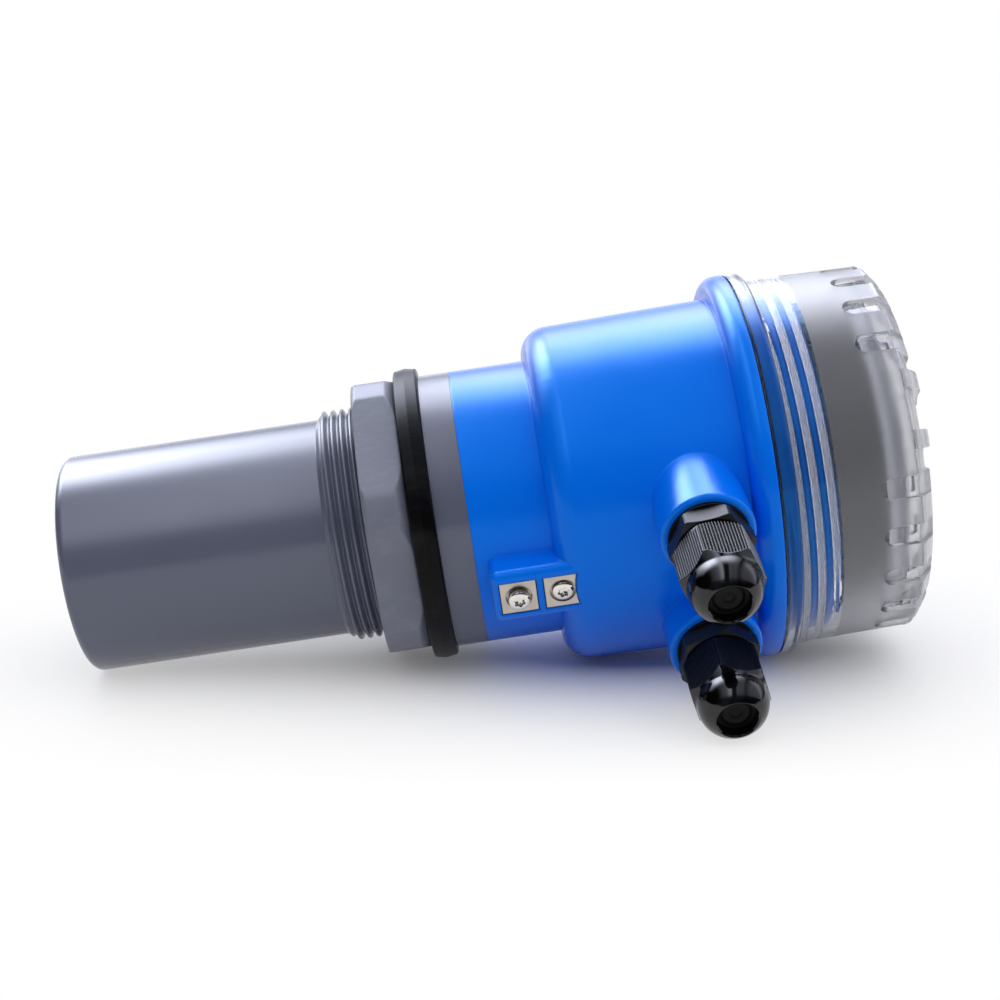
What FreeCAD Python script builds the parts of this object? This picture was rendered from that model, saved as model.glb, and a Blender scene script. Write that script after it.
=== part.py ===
import FreeCAD, Part
import math
import os

# Ultrasonic level sensor: a plastic transducer body with a process thread, a blue housing and a
# clear screw lid. +Z runs along the sensor axis, away from the sensor face. The origin is the
# centre of the sensor face, and the two cable glands point along -Y. Lengths are in millimetres.

# Transducer body
tail_radius = 27.8
tail_length = 65.6
tail_edge_radius = 2.2
face_thickness = 3.0
shell_wall = 3.0
thread_step = 2.0
thread_length = 27.1
collar_step = 5.3
collar_length = 8.0
spigot_step = 4.6
spigot_length = 17.0

# Sealing ring in the spigot
ring_section = 2.0
ring_depth = 1.6
ring_width = 2.6
ring_setback = 4.0

# Parts inside the transducer body
inner_fit = 0.15
matching_thickness = 6.0
piezo_edge_gap = 2.8
piezo_thickness = 7.0
backing_length = 20.0
potting_length = 79.0
probe_radius = 2.0
probe_length = 5.5
lead_radius = 0.8
lead_spacing = 8.0
probe_edge_gap = 1.0

# Lock nut and its gasket
nut_across_flats = 67.8
nut_corner_rise = 2.7
nut_height = 10.8
nut_corner_angle = -126.0
nut_top_chamfer = 2.2
nut_top_inset = 1.8
nut_chamfer = 0.9
thread_clearance = 0.1
seat_gap = 0.05
gasket_width = 7.8
gasket_height = 6.0
gasket_draft = 0.4
gasket_edge = 0.75
gasket_clearance = 0.3

# Housing
neck_length = 19.1
drum_length = 47.6
drum_radius = 42.8
drum_draft_angle = 1.4
drum_shoulder_radius = 7.0
flange_reach = 5.45
flange_thickness = 5.8
flange_back_radius = 4.0
flange_front_radius = 0.5
mouth_step = 1.1
mouth_length = 13.9
mouth_chamfer = 0.8
housing_wall = 3.0
housing_floor = 3.6

# Cable glands
gland_spacing = 33.2
gland_drop = 12.4
boss_radius = 11.3
boss_rise = 9.2
boss_length = 28.0
cut_margin = 2.0
boss_edge_radius = 1.0
stub_radius = 7.9
stub_length = 13.0
gland_bore_radius = 5.6
washer_step = 1.7
washer_thickness = 1.0
gland_hex_across = 17.8
gland_hex_rise = 1.2
gland_hex_length = 4.9
gland_hex_bottom_chamfer = 0.5
gland_hex_top_chamfer = 0.7
gland_hex_top_inset = 1.2
gland_hex_angles = (35.0, 50.0)
neck_thread_length = 10.0
finger_length = 5.0
finger_end_radius = 6.3
finger_count = 6
finger_slot = 0.9
finger_slot_place = 3.0
finger_root = 0.8
finger_step = 1.1

# Dome nuts and the rubber bushes that they squeeze
dome_gap = 0.7
dome_across = 17.4
dome_corner_rise = 1.1
dome_grip_length = 11.0
dome_length = 20.0
dome_mid_radius = 7.6
dome_mid_setback = 2.4
dome_face_radius = 5.3
dome_lip_length = 2.4
dome_lip_chamfer = 0.5
dome_cone_length = 1.2
dome_thread_relief = 0.5
dome_wedge_gap = 0.9
dome_root_gap = 2.1
dome_nut_angles = (21.5, 11.0)
entry_radius = 4.75
bush_radius = 5.3
bush_bore_radius = 2.7
bush_length = 10.5
bush_depth = 2.2
bush_edge = 0.6

# Earth terminals on the side of the neck
block_width = 14.2
block_inset = 0.6
block_length = 23.5
block_lap = 7.2
block_edge_radius = 2.2
plate_size = 8.75
plate_thickness = 2.4
plate_gap = 0.2
plate_pitch = 10.7
plate_counterbore_radius = 3.2
plate_counterbore_depth = 1.4
screw_head_radius = 2.6
screw_head_height = 2.0
screw_radius = 1.5
screw_fit = 0.05
screw_length = 6.2
screw_backed_off = (1.4, 0.0)
socket_radius = 1.2
socket_depth = 1.2
insert_radius = 2.6
insert_length = 5.6
insert_cover = 0.05

# Screw lid
lid_gap = 0.3
lid_bead_inset = 0.15
lid_bead_height = 4.1
lid_bead_edge = 1.4
lid_wall = 3.15
lid_draft_angle = 1.4
lid_length = 39.9
lid_crown_height = 7.2
lid_crown_inset = 7.6
lid_crown_bulge = 2.1
lid_bore_clearance = 0.3
lid_ceiling_thickness = 4.8
lid_inner_radius = 8.0
scoop_count = 24
scoop_width = 5.3
scoop_depth = 1.35
scoop_length = 8.8
scoop_run_in = 4.3
scoop_angle = -125.3
plain_scoops = (-1, 0, 11, 12)
plain_crown_step = 1.1
plain_zone_angle = 38.4
plain_zone_middle = -132.8
lug_angle = 5.5
lug_spread = 18.2
lug_height = 1.9
lug_reach = 6.0
lug_root = 0.4
seal_thickness = 2.3
seal_width = 3.4
seal_fit = 0.3

# Electronics in the drum
cup_clearance = 0.5
cup_wall = 2.0
cup_length = 22.6
cup_deck = 2.5
board_thickness = 1.6
main_board_gap = 3.3
main_board_drop = 12.0
board_boss_radius = 3.0
board_boss_inset = 5.0
board_screw_radius = 1.1
board_screw_head = 2.1
board_screw_head_height = 1.5
board_screw_grip = 5.0
screw_end_gap = 0.5
transformer_size = (18.0, 15.0, 9.0)
transformer_place = -3.0
capacitor_radius = 5.0
capacitor_height = 8.0
capacitor_spread = 15.0
pole_count = 5
pole_pitch = 9.5
pole_block_depth = 12.0
pole_block_height = 13.0
pole_block_place = 14.0
pole_margin = 2.5
pole_entry_radius = 2.0
pole_entry_height = 4.5
pole_entry_depth = 8.4
pole_well_radius = 2.4
pole_well_depth = 4.0
pole_screw_radius = 2.1
pole_screw_height = 2.0
pole_slot_width = 0.6
pole_slot_depth = 0.7

# Display module under the lid
module_gap = 4.6
module_height = 24.4
module_headroom = 8.2
module_wall = 2.2
module_rim = 1.5
module_edge = 0.6
module_plate = 2.5
module_foot = 2.0
module_foot_width = 7.5
flute_count = 36
flute_width = 1.6
flute_depth = 0.5
flute_length = 10.5
flute_drop = 2.0
post_radius = 2.4
post_tip_radius = 1.15
post_inset = 4.3
post_angles = (90.0, 210.0, 330.0)
module_screw_radius = 1.25
module_screw_head = 2.2
module_screw_head_height = 1.6
module_screw_length = 7.0
display_board_gap = 2.1
display_board_drop = 5.0
display_boss_radius = 2.0
display_boss_inset = 3.8
board_boss_angles = (0.0, 90.0, 180.0, 270.0)
window_size = (50.0, 28.0)
window_place = 8.0
window_thickness = 1.2
window_ledge = 2.0
window_fit = 0.1
lcd_size = (47.0, 25.0, 3.6)
key_count = 4
key_pitch = 13.0
key_place = -17.0
key_radius = 3.4
key_clearance = 0.3
key_flange = 1.0
key_flange_thickness = 1.4
key_proud = 1.3
key_travel = 0.8
key_edge = 0.5
key_stop_gap = 0.2
switch_size = 4.4

# Sizes and stations worked out from the sizes above
thread_radius = tail_radius + thread_step
collar_radius = thread_radius + collar_step
spigot_radius = collar_radius - spigot_step
shell_bore = tail_radius - shell_wall
piezo_radius = shell_bore - piezo_edge_gap
neck_radius = collar_radius
neck_bore = spigot_radius + inner_fit
nut_corner_radius = nut_across_flats / 2 + nut_corner_rise
gasket_radius = thread_radius + gasket_width
collar_start = tail_length + thread_length
neck_start = collar_start + collar_length
ring_start = neck_start + ring_setback
spigot_end = neck_start + spigot_length
drum_start = neck_start + neck_length
floor_top = drum_start + housing_floor
flange_start = drum_start + drum_length
flange_top = flange_start + flange_thickness
mouth_top = flange_top + mouth_length
mouth_radius = drum_radius + mouth_step
flange_radius = mouth_radius + flange_reach
gasket_start = collar_start - seat_gap - gasket_height
nut_start = gasket_start - seat_gap - nut_height
matching_top = face_thickness + matching_thickness
piezo_top = matching_top + piezo_thickness
backing_top = piezo_top + backing_length
potting_top = backing_top + potting_length
gland_height = flange_start - gland_drop
boss_reach = drum_radius + boss_rise
washer_radius = stub_radius + washer_step
gland_hex_radius = gland_hex_across / 2 + gland_hex_rise
dome_corner_radius = dome_across / 2 + dome_corner_rise
block_reach = drum_radius - block_inset
block_end = drum_start + block_lap
block_start = block_end - block_length
upper_plate = floor_top - insert_radius - inner_fit - insert_cover
plate_stations = (upper_plate - plate_pitch, upper_plate)
cup_radius = drum_radius - housing_wall - cup_clearance
cup_top = floor_top + cup_length
main_board_bottom = cup_top - cup_deck - main_board_drop - board_thickness
main_board_radius = cup_radius - cup_wall - main_board_gap
board_boss_circle = main_board_radius - board_boss_inset
post_circle = cup_radius - post_inset
lid_start = flange_top + lid_gap
lid_bore = mouth_radius + lid_bore_clearance
lid_wall_radius = lid_bore + lid_wall
lid_bead_radius = flange_radius - lid_bead_inset
lid_top = lid_start + lid_length
lid_crown_start = lid_top - lid_crown_height
scoop_start = lid_crown_start - scoop_length
lid_ceiling = lid_top - lid_ceiling_thickness
module_radius = lid_bore - module_gap
module_top = lid_ceiling - module_headroom
module_start = module_top - module_height
module_plate_top = module_top - module_rim
module_plate_bottom = module_plate_top - module_plate
display_board_top = module_plate_bottom - display_board_drop
display_board_radius = module_radius - module_foot_width - display_board_gap
display_boss_circle = display_board_radius - display_boss_inset


def vector(x, y, z):
    return FreeCAD.Vector(x, y, z)


up = vector(0, 0, 1)
origin = vector(0, 0, 0)


def disc(radius, start, height, x=0.0, y=0.0):
    return Part.makeCylinder(radius, height, vector(x, y, start))


def tube(outer, inner, start, height, x=0.0, y=0.0):
    return disc(outer, start, height, x, y).cut(disc(inner, start, height, x, y))


def block(width, depth, height, x, y, start):
    """Box centred at x and y, standing on the height start."""
    return Part.makeBox(width, depth, height, vector(x - width / 2, y - depth / 2, start))


def turned(path, angle=360.0):
    """Solid of revolution about Z. A point is (radius, height). A pair of points is an arc."""
    edges = []
    last = vector(path[0][0], 0, path[0][1])
    first = last
    for step in path[1:]:
        if isinstance(step[0], tuple):
            middle = vector(step[0][0], 0, step[0][1])
            end = vector(step[1][0], 0, step[1][1])
            edges.append(Part.Arc(last, middle, end).toShape())
        else:
            end = vector(step[0], 0, step[1])
            edges.append(Part.LineSegment(last, end).toShape())
        last = end
    if (last - first).Length > 1e-6:
        edges.append(Part.LineSegment(last, first).toShape())
    return Part.Face(Part.Wire(edges)).revolve(origin, up, angle)


def spun(shape, angle):
    """Copy of a shape, turned about the sensor axis."""
    copy = shape.copy()
    copy.rotate(origin, up, angle)
    return copy


def polar(radius, angle):
    return radius * math.cos(math.radians(angle)), radius * math.sin(math.radians(angle))


def rims(shape, radius, station):
    """Circular edges about the sensor axis at one radius and height."""
    found = []
    for edge in shape.Edges:
        curve = edge.Curve
        if not isinstance(curve, Part.Circle):
            continue
        on_axis = math.hypot(curve.Center.x, curve.Center.y) < 0.01
        if on_axis and abs(curve.Radius - radius) < 0.01 and abs(curve.Center.z - station) < 0.01:
            found.append(edge)
    return found


def hexagon(across, start, height, corner_angle):
    corner = across / math.sqrt(3)
    points = []
    for side in range(7):
        x, y = polar(corner, corner_angle + 60.0 * side)
        points.append(vector(x, y, start))
    return Part.Face(Part.makePolygon(points)).extrude(vector(0, 0, height))


def drafted(radius, draft_angle, run):
    """Radius of a wall after a run along Z, where the wall leans by a draft angle."""
    return radius + math.tan(math.radians(draft_angle)) * run


# Transducer body: sensor cup, process thread, collar and spigot in one piece


def transducer_shell():
    body = turned([
        (0, 0),
        (tail_radius, 0),
        (tail_radius, tail_length),
        (thread_radius, tail_length + thread_radius - tail_radius),
        (thread_radius, collar_start),
        (collar_radius, collar_start),
        (collar_radius, neck_start),
        (spigot_radius, neck_start),
        (spigot_radius, spigot_end),
        (0, spigot_end),
    ])
    body = body.makeFillet(tail_edge_radius, rims(body, tail_radius, 0))
    body = body.cut(disc(shell_bore, face_thickness, spigot_end - face_thickness))
    return body.cut(ring_groove())


def ring_groove():
    return tube(spigot_radius + 1, spigot_radius - ring_depth, ring_start, ring_width)


def shell_seal():
    """Sealing ring in the spigot's groove. It is squeezed to the neck's bore."""
    start = ring_start + (ring_width - ring_section) / 2
    return tube(neck_bore, spigot_radius - ring_depth, start, ring_section)


def lead_places():
    return ((-lead_spacing / 2, 0.0), (lead_spacing / 2, 0.0))


def bored_for_leads(shape, start, height):
    for x, y in lead_places():
        shape = shape.cut(disc(lead_radius + inner_fit, start, height, x, y))
    return shape


def matching_layer():
    layer = disc(shell_bore - inner_fit, face_thickness, matching_thickness)
    hole = disc(probe_radius + inner_fit, face_thickness, matching_thickness, *probe_place())
    return layer.cut(hole)


def probe_place():
    return 0.0, shell_bore - probe_radius - probe_edge_gap - inner_fit


def piezo_disc():
    return disc(piezo_radius, matching_top, piezo_thickness - seat_gap)


def piezo_sleeve():
    """Soft ring that centres the piezo disc and lets its edge move."""
    height = piezo_thickness - seat_gap
    return tube(shell_bore - inner_fit, piezo_radius + inner_fit, matching_top, height)


def backing_disc():
    layer = disc(shell_bore - inner_fit, piezo_top, backing_length)
    return bored_for_leads(layer, piezo_top, backing_length)


def transducer_potting():
    plug = disc(shell_bore - inner_fit, backing_top, potting_length)
    return bored_for_leads(plug, backing_top, potting_length)


def temperature_probe():
    return disc(probe_radius, face_thickness, probe_length, *probe_place())


def transducer_leads():
    length = main_board_bottom - piezo_top
    leads = [disc(lead_radius, piezo_top, length, x, y) for x, y in lead_places()]
    return Part.makeCompound(leads)


# Lock nut and gasket on the process thread


def lock_nut():
    top = nut_start + nut_height
    form = turned([
        (thread_radius + thread_clearance, nut_start + nut_chamfer),
        (thread_radius + thread_clearance + nut_chamfer, nut_start),
        (nut_corner_radius - nut_chamfer, nut_start),
        (nut_corner_radius, nut_start + nut_chamfer),
        (nut_corner_radius, top - nut_top_chamfer),
        (nut_corner_radius - nut_top_inset, top),
        (thread_radius + thread_clearance + nut_chamfer, top),
        (thread_radius + thread_clearance, top - nut_chamfer),
    ])
    return form.common(hexagon(nut_across_flats, nut_start, nut_height, nut_corner_angle))


def process_gasket():
    middle = gasket_start + gasket_height / 2
    top = gasket_start + gasket_height
    round_mid = gasket_edge * (1 - math.sqrt(0.5))
    inner = thread_radius + gasket_clearance
    outer = gasket_radius - gasket_draft
    return turned([
        (inner, gasket_start),
        (outer - gasket_edge, gasket_start),
        ((outer - round_mid, gasket_start + round_mid), (outer, gasket_start + gasket_edge)),
        (gasket_radius, middle),
        (outer, top - gasket_edge),
        ((outer - round_mid, top - round_mid), (outer - gasket_edge, top)),
        (inner, top),
    ])


# Blue housing: neck, drum, flange, lid thread, gland bosses and earth block in one moulding


def housing_outside():
    top_radius = drafted(drum_radius, drum_draft_angle, drum_length)
    form = turned([
        (0, neck_start),
        (neck_radius, neck_start),
        (neck_radius, drum_start),
        (drum_radius, drum_start),
        (top_radius, flange_start),
        (flange_radius, flange_start),
        (flange_radius, flange_top),
        (mouth_radius, flange_top),
        (mouth_radius, mouth_top),
        (0, mouth_top),
    ])
    form = form.makeFillet(drum_shoulder_radius, rims(form, drum_radius, drum_start))
    form = form.makeFillet(flange_back_radius, rims(form, flange_radius, flange_start))
    form = form.makeFillet(flange_front_radius, rims(form, flange_radius, flange_top))
    return form.makeChamfer(mouth_chamfer, rims(form, mouth_radius, mouth_top))


def gland_places():
    return (-gland_spacing / 2, gland_spacing / 2)


def along_gland(shape, x):
    """A shape made along +Z from 0, laid along a gland's axis with 0 at the boss face."""
    copy = shape.copy()
    copy.rotate(origin, vector(1, 0, 0), 90)
    copy.translate(vector(x, -boss_reach, gland_height))
    return copy


def gland_boss(x):
    boss = disc(boss_radius, -boss_length, boss_length)
    boss = boss.makeFillet(boss_edge_radius, rims(boss, boss_radius, 0))
    return along_gland(boss, x)


def earth_block():
    depth = block_reach - neck_bore
    form = block(block_width, depth, block_end - block_start, 0, -block_reach + depth / 2, block_start)
    corners = []
    for edge in form.Edges:
        box = edge.BoundBox
        on_face = box.YMax < -block_reach + 0.01
        at_side = abs(abs(box.Center.x) - block_width / 2) < 0.01 and box.ZLength > 1
        at_end = box.ZMax < block_start + 0.01
        if (on_face and (at_side or at_end)) or (at_end and box.YLength > 1):
            corners.append(edge)
    return form.makeFillet(block_edge_radius, corners)


def earth_cuts():
    pocket = plate_size + 2 * plate_gap
    cuts = []
    for station in plate_stations:
        depth = plate_thickness + plate_gap
        y = -block_reach + depth / 2
        cuts.append(block(pocket, depth + 0.01, pocket, 0, y, station - pocket / 2))
        hole_end = block_reach - depth - insert_length
        cuts.append(across(insert_radius + inner_fit, hole_end, insert_length, station))
    return cuts


def across(radius, nearest, length, station):
    """Cylinder along -Y in the plane X = 0, from a distance in front of the sensor axis."""
    return Part.makeCylinder(radius, length, vector(0, -nearest, station), vector(0, -1, 0))


def main_housing():
    form = housing_outside()
    for x in gland_places():
        form = form.fuse(gland_boss(x))
    form = form.fuse(earth_block())
    cavity_low = drum_radius - housing_wall
    cavity_high = mouth_radius - housing_wall
    form = form.cut(turned([
        (0, neck_start),
        (neck_bore, neck_start),
        (neck_bore, floor_top),
        (cavity_low, floor_top),
        (cavity_high, mouth_top),
        (0, mouth_top),
    ]))
    for x in gland_places():
        hole = disc(stub_radius + inner_fit, -boss_length - cut_margin, boss_length + 2 * cut_margin)
        form = form.cut(along_gland(hole, x))
    for cut in earth_cuts():
        form = form.cut(cut)
    return form.removeSplitter()


# Earth terminals


def earth_plate(station):
    back = block_reach - plate_gap - plate_thickness
    middle = -back - plate_thickness / 2
    plate = block(plate_size, plate_thickness, plate_size, 0, middle, station - plate_size / 2)
    plate = plate.cut(across(screw_radius + inner_fit, back - 1, plate_thickness + 2, station))
    floor = back + plate_thickness - plate_counterbore_depth
    return plate.cut(across(plate_counterbore_radius, floor, plate_counterbore_depth + 1, station))


def earth_screw(station, backed_off):
    """Cheese-head screw. Its head bears on the counterbore floor, less what it is backed off."""
    seat = block_reach - plate_gap - plate_counterbore_depth + backed_off
    screw = across(screw_head_radius, seat, screw_head_height, station)
    screw = screw.fuse(across(screw_radius, seat - screw_length, screw_length, station))
    socket = hexagon(socket_radius * math.sqrt(3), 0, socket_depth + 1, 0)
    socket.rotate(origin, vector(1, 0, 0), 90)
    socket.translate(vector(0, -seat - screw_head_height + socket_depth, station))
    return screw.cut(socket)


def earth_screws():
    screws = [earth_screw(place, slack) for place, slack in zip(plate_stations, screw_backed_off)]
    return Part.makeCompound(screws)


def earth_inserts():
    inserts = []
    back = block_reach - plate_gap - plate_thickness - insert_length
    for station in plate_stations:
        sleeve = across(insert_radius, back, insert_length, station)
        hole = across(screw_radius + screw_fit, back - 1, insert_length + 2, station)
        inserts.append(sleeve.cut(hole))
    return Part.makeCompound(inserts)


# Cable glands


def gland_washer(x):
    return along_gland(tube(washer_radius, stub_radius + inner_fit, 0, washer_thickness), x)


def gland_body(x, hex_angle):
    hex_end = washer_thickness + gland_hex_length
    thread_end = hex_end + neck_thread_length
    finger_end = thread_end + finger_length
    prism = hexagon(gland_hex_across, washer_thickness, gland_hex_length, hex_angle)
    form = prism.common(turned([
        (0, washer_thickness),
        (gland_hex_radius - gland_hex_bottom_chamfer, washer_thickness),
        (gland_hex_radius, washer_thickness + gland_hex_bottom_chamfer),
        (gland_hex_radius, hex_end - gland_hex_top_chamfer),
        (gland_hex_radius - gland_hex_top_inset, hex_end),
        (0, hex_end),
    ]))
    form = form.fuse(turned([
        (0, -stub_length),
        (stub_radius, -stub_length),
        (stub_radius, thread_end),
        (stub_radius - finger_step, thread_end),
        (finger_end_radius, finger_end),
        (0, finger_end),
    ]))
    form = form.cut(disc(gland_bore_radius, -stub_length, stub_length + finger_end))
    middle = finger_slot_place + stub_radius / 2
    slot = block(stub_radius, finger_slot, finger_length, middle, 0, thread_end + finger_root)
    for finger in range(finger_count):
        form = form.cut(spun(slot, 360.0 * finger / finger_count))
    return along_gland(form, x)


def dome_start():
    return washer_thickness + gland_hex_length + dome_gap


def dome_nut(x, hex_angle):
    start = dome_start()
    grip_end = start + dome_grip_length
    face = start + dome_length
    edge = dome_corner_radius - dome_across / 2
    envelope = turned([
        (0, start),
        (dome_corner_radius - edge, start),
        (dome_corner_radius, start + edge),
        (dome_corner_radius, grip_end),
        ((dome_mid_radius, face - dome_mid_setback), (dome_face_radius, face)),
        (0, face),
    ])
    prism = hexagon(dome_across, start, dome_length, hex_angle)
    form = envelope.common(prism)
    thread_bore = stub_radius + thread_clearance
    thread_end = washer_thickness + gland_hex_length + neck_thread_length + dome_thread_relief
    lip = face - dome_lip_length
    inside = turned([
        (0, start),
        (thread_bore, start),
        (thread_bore, thread_end),
        (bush_radius + dome_root_gap, thread_end + 2 * dome_thread_relief),
        (bush_radius + dome_wedge_gap, lip - dome_cone_length),
        (entry_radius, lip),
        (entry_radius, face - dome_lip_chamfer),
        (entry_radius + dome_lip_chamfer, face),
        (0, face),
    ])
    return along_gland(form.cut(inside), x)


def seal_bush(x):
    """Rubber bush inside the gland's fingers. Its front face is dished towards the cable hole."""
    front = dome_start() + dome_length - bush_depth
    return along_gland(turned([
        (bush_bore_radius, front - bush_length),
        (bush_radius, front - bush_length),
        (bush_radius, front - bush_edge * 2),
        (bush_radius - bush_edge, front - bush_edge),
        (bush_bore_radius + bush_edge, front - bush_edge),
        (bush_bore_radius + bush_edge / 2, front),
        (bush_bore_radius, front),
    ]), x)


# Clear lid


def crown(offset):
    """Points of the lid's rounded crown, moved inwards by an offset."""
    edge = drafted(lid_wall_radius, -lid_draft_angle, lid_crown_start - lid_start) - offset
    top = lid_top - offset
    rise = top - lid_crown_start
    middle = (edge - lid_crown_inset / 2 + lid_crown_bulge, lid_crown_start + rise / 2 + lid_crown_bulge)
    return (edge, lid_crown_start), middle, (edge - lid_crown_inset, top)


def lid_body():
    bead_top = lid_start + lid_bead_height
    wall_low = drafted(lid_wall_radius, -lid_draft_angle, lid_bead_height)
    edge, middle, top = crown(0)
    ceiling = lid_ceiling
    inner_mid = lid_inner_radius * (1 - math.sqrt(0.5))
    inner_start = ceiling - lid_inner_radius
    rebate = mouth_radius + seal_fit + seal_width + seal_fit
    rebate_top = flange_top + seal_thickness + seal_fit
    bead_mid = lid_bead_edge * (1 - math.sqrt(0.5))
    return turned([
        (0, ceiling),
        (lid_bore - lid_inner_radius, ceiling),
        ((lid_bore - inner_mid, ceiling - inner_mid), (lid_bore, inner_start)),
        (lid_bore, rebate_top),
        (rebate, rebate_top),
        (rebate, lid_start),
        (lid_bead_radius, lid_start),
        (lid_bead_radius, bead_top - lid_bead_edge),
        ((lid_bead_radius - bead_mid, bead_top - bead_mid), (lid_bead_radius - lid_bead_edge, bead_top)),
        (wall_low, bead_top),
        edge,
        (middle, top),
        (0, lid_top),
    ])


def scoop():
    """Cutter of one grip scoop: a flat floor that leans in at the crown, with a round lower end."""
    edge = drafted(lid_wall_radius, -lid_draft_angle, lid_crown_start - lid_start)
    floor = edge - scoop_depth
    past = lid_bead_radius
    low = scoop_start + scoop_width / 2
    high = lid_top + cut_margin
    points = [
        vector(floor, -scoop_width / 2, low),
        vector(floor, -scoop_width / 2, lid_crown_start),
        vector(floor - scoop_run_in, -scoop_width / 2, high),
        vector(past, -scoop_width / 2, high),
        vector(past, -scoop_width / 2, low),
    ]
    prism = Part.Face(Part.makePolygon(points + points[:1])).extrude(vector(0, scoop_width, 0))
    end = Part.makeCylinder(scoop_width / 2, past - floor, vector(floor, 0, low), vector(1, 0, 0))
    return prism.fuse(end)


def crown_band(inner_offset, outer_offset, angle, middle_angle):
    """Sector of the band between two offsets of the crown."""
    inner_edge, inner_mid, inner_top = crown(inner_offset)
    outer_edge, outer_mid, outer_top = crown(outer_offset)
    inside = inner_top[0] - lug_reach
    band = turned([
        inner_edge,
        outer_edge,
        (outer_mid, outer_top),
        (inside, outer_top[1]),
        (inside, inner_top[1]),
        inner_top,
        (inner_mid, inner_edge),
    ], angle)
    return spun(band, middle_angle - angle / 2)


def lid():
    form = lid_body()
    for side in (0, 180):
        form = form.cut(crown_band(plain_crown_step, -2, plain_zone_angle, plain_zone_middle + side))
    for place in range(-scoop_count // 2 + 1, scoop_count // 2 + 1):
        if place not in plain_scoops:
            form = form.cut(spun(scoop(), scoop_angle + 360.0 / scoop_count * place))
    root = plain_crown_step + lug_root
    tip = plain_crown_step - lug_height
    for side in (0, 180):
        for turn in (-lug_spread / 2, lug_spread / 2):
            middle = plain_zone_middle + side + turn
            form = form.fuse(crown_band(root, tip, lug_angle, middle))
    return form.removeSplitter()


def lid_seal():
    inner = mouth_radius + seal_fit
    return tube(inner + seal_width, inner, flange_top, seal_thickness)


# Electronics module in the drum


def electronics_cup():
    cup = disc(cup_radius, floor_top, cup_length)
    cup = cup.cut(disc(cup_radius - cup_wall, floor_top, cup_length - cup_deck))
    boss_start = cup_top - cup_deck - main_board_drop
    for angle in post_angles:
        x, y = polar(board_boss_circle, angle)
        cup = cup.fuse(disc(board_boss_radius, boss_start, main_board_drop, x, y))
        cup = cup.cut(disc(board_screw_radius, boss_start, board_screw_grip, x, y))
        x, y = polar(post_circle, angle)
        cup = cup.cut(disc(post_tip_radius + screw_fit, cup_top - cup_deck, cup_deck, x, y))
    return cup


def main_board():
    board = disc(main_board_radius, main_board_bottom, board_thickness)
    for angle in post_angles:
        x, y = polar(board_boss_circle, angle)
        hole = disc(board_screw_radius + inner_fit, main_board_bottom, board_thickness, x, y)
        board = board.cut(hole)
    return board


def board_screws():
    screws = []
    head_start = main_board_bottom - board_screw_head_height
    length = board_thickness + board_screw_grip - screw_end_gap
    for angle in post_angles:
        x, y = polar(board_boss_circle, angle)
        head = disc(board_screw_head, head_start, board_screw_head_height, x, y)
        shank = disc(board_screw_radius - screw_fit, main_board_bottom, length, x, y)
        screws.append(head.fuse(shank))
    return Part.makeCompound(screws)


def drive_transformer():
    width, depth, height = transformer_size
    return block(width, depth, height, 0, transformer_place, main_board_bottom + board_thickness)


def board_capacitors():
    start = main_board_bottom + board_thickness
    places = (-capacitor_spread, capacitor_spread)
    return Part.makeCompound([disc(capacitor_radius, start, capacitor_height, x) for x in places])


def pole_places():
    first = -pole_pitch * (pole_count - 1) / 2
    return [first + pole_pitch * pole for pole in range(pole_count)]


def wire_terminals():
    width = pole_pitch * pole_count + 2 * pole_margin
    y = pole_block_place + pole_block_depth / 2
    well_start = cup_top + pole_block_height - pole_well_depth
    form = block(width, pole_block_depth, pole_block_height, 0, y, cup_top)
    for x in pole_places():
        mouth = vector(x, pole_block_place, cup_top + pole_entry_height)
        entry = Part.makeCylinder(pole_entry_radius, pole_entry_depth, mouth, vector(0, 1, 0))
        form = form.cut(entry)
        form = form.cut(disc(pole_well_radius, well_start, pole_well_depth, x, y))
    return form


def terminal_screws():
    y = pole_block_place + pole_block_depth / 2
    start = cup_top + pole_block_height - pole_well_depth
    screws = []
    for x in pole_places():
        head = disc(pole_screw_radius, start, pole_screw_height, x, y)
        slot_start = start + pole_screw_height - pole_slot_depth
        slot = block(pole_screw_radius * 3, pole_slot_width, pole_slot_depth, x, y, slot_start)
        screws.append(head.cut(slot))
    return Part.makeCompound(screws)


def display_posts():
    """Stand-offs with a threaded tip below, and a screw hole on top."""
    posts = []
    hole = module_screw_length - module_foot + screw_end_gap
    for angle in post_angles:
        x, y = polar(post_circle, angle)
        post = disc(post_radius, cup_top, module_start - cup_top, x, y)
        post = post.fuse(disc(post_tip_radius, cup_top - cup_deck, cup_deck, x, y))
        posts.append(post.cut(disc(module_screw_radius, module_start - hole, hole, x, y)))
    return Part.makeCompound(posts)


# Display module


def key_places():
    first = -key_pitch * (key_count - 1) / 2
    return [first + key_pitch * key for key in range(key_count)]


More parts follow.
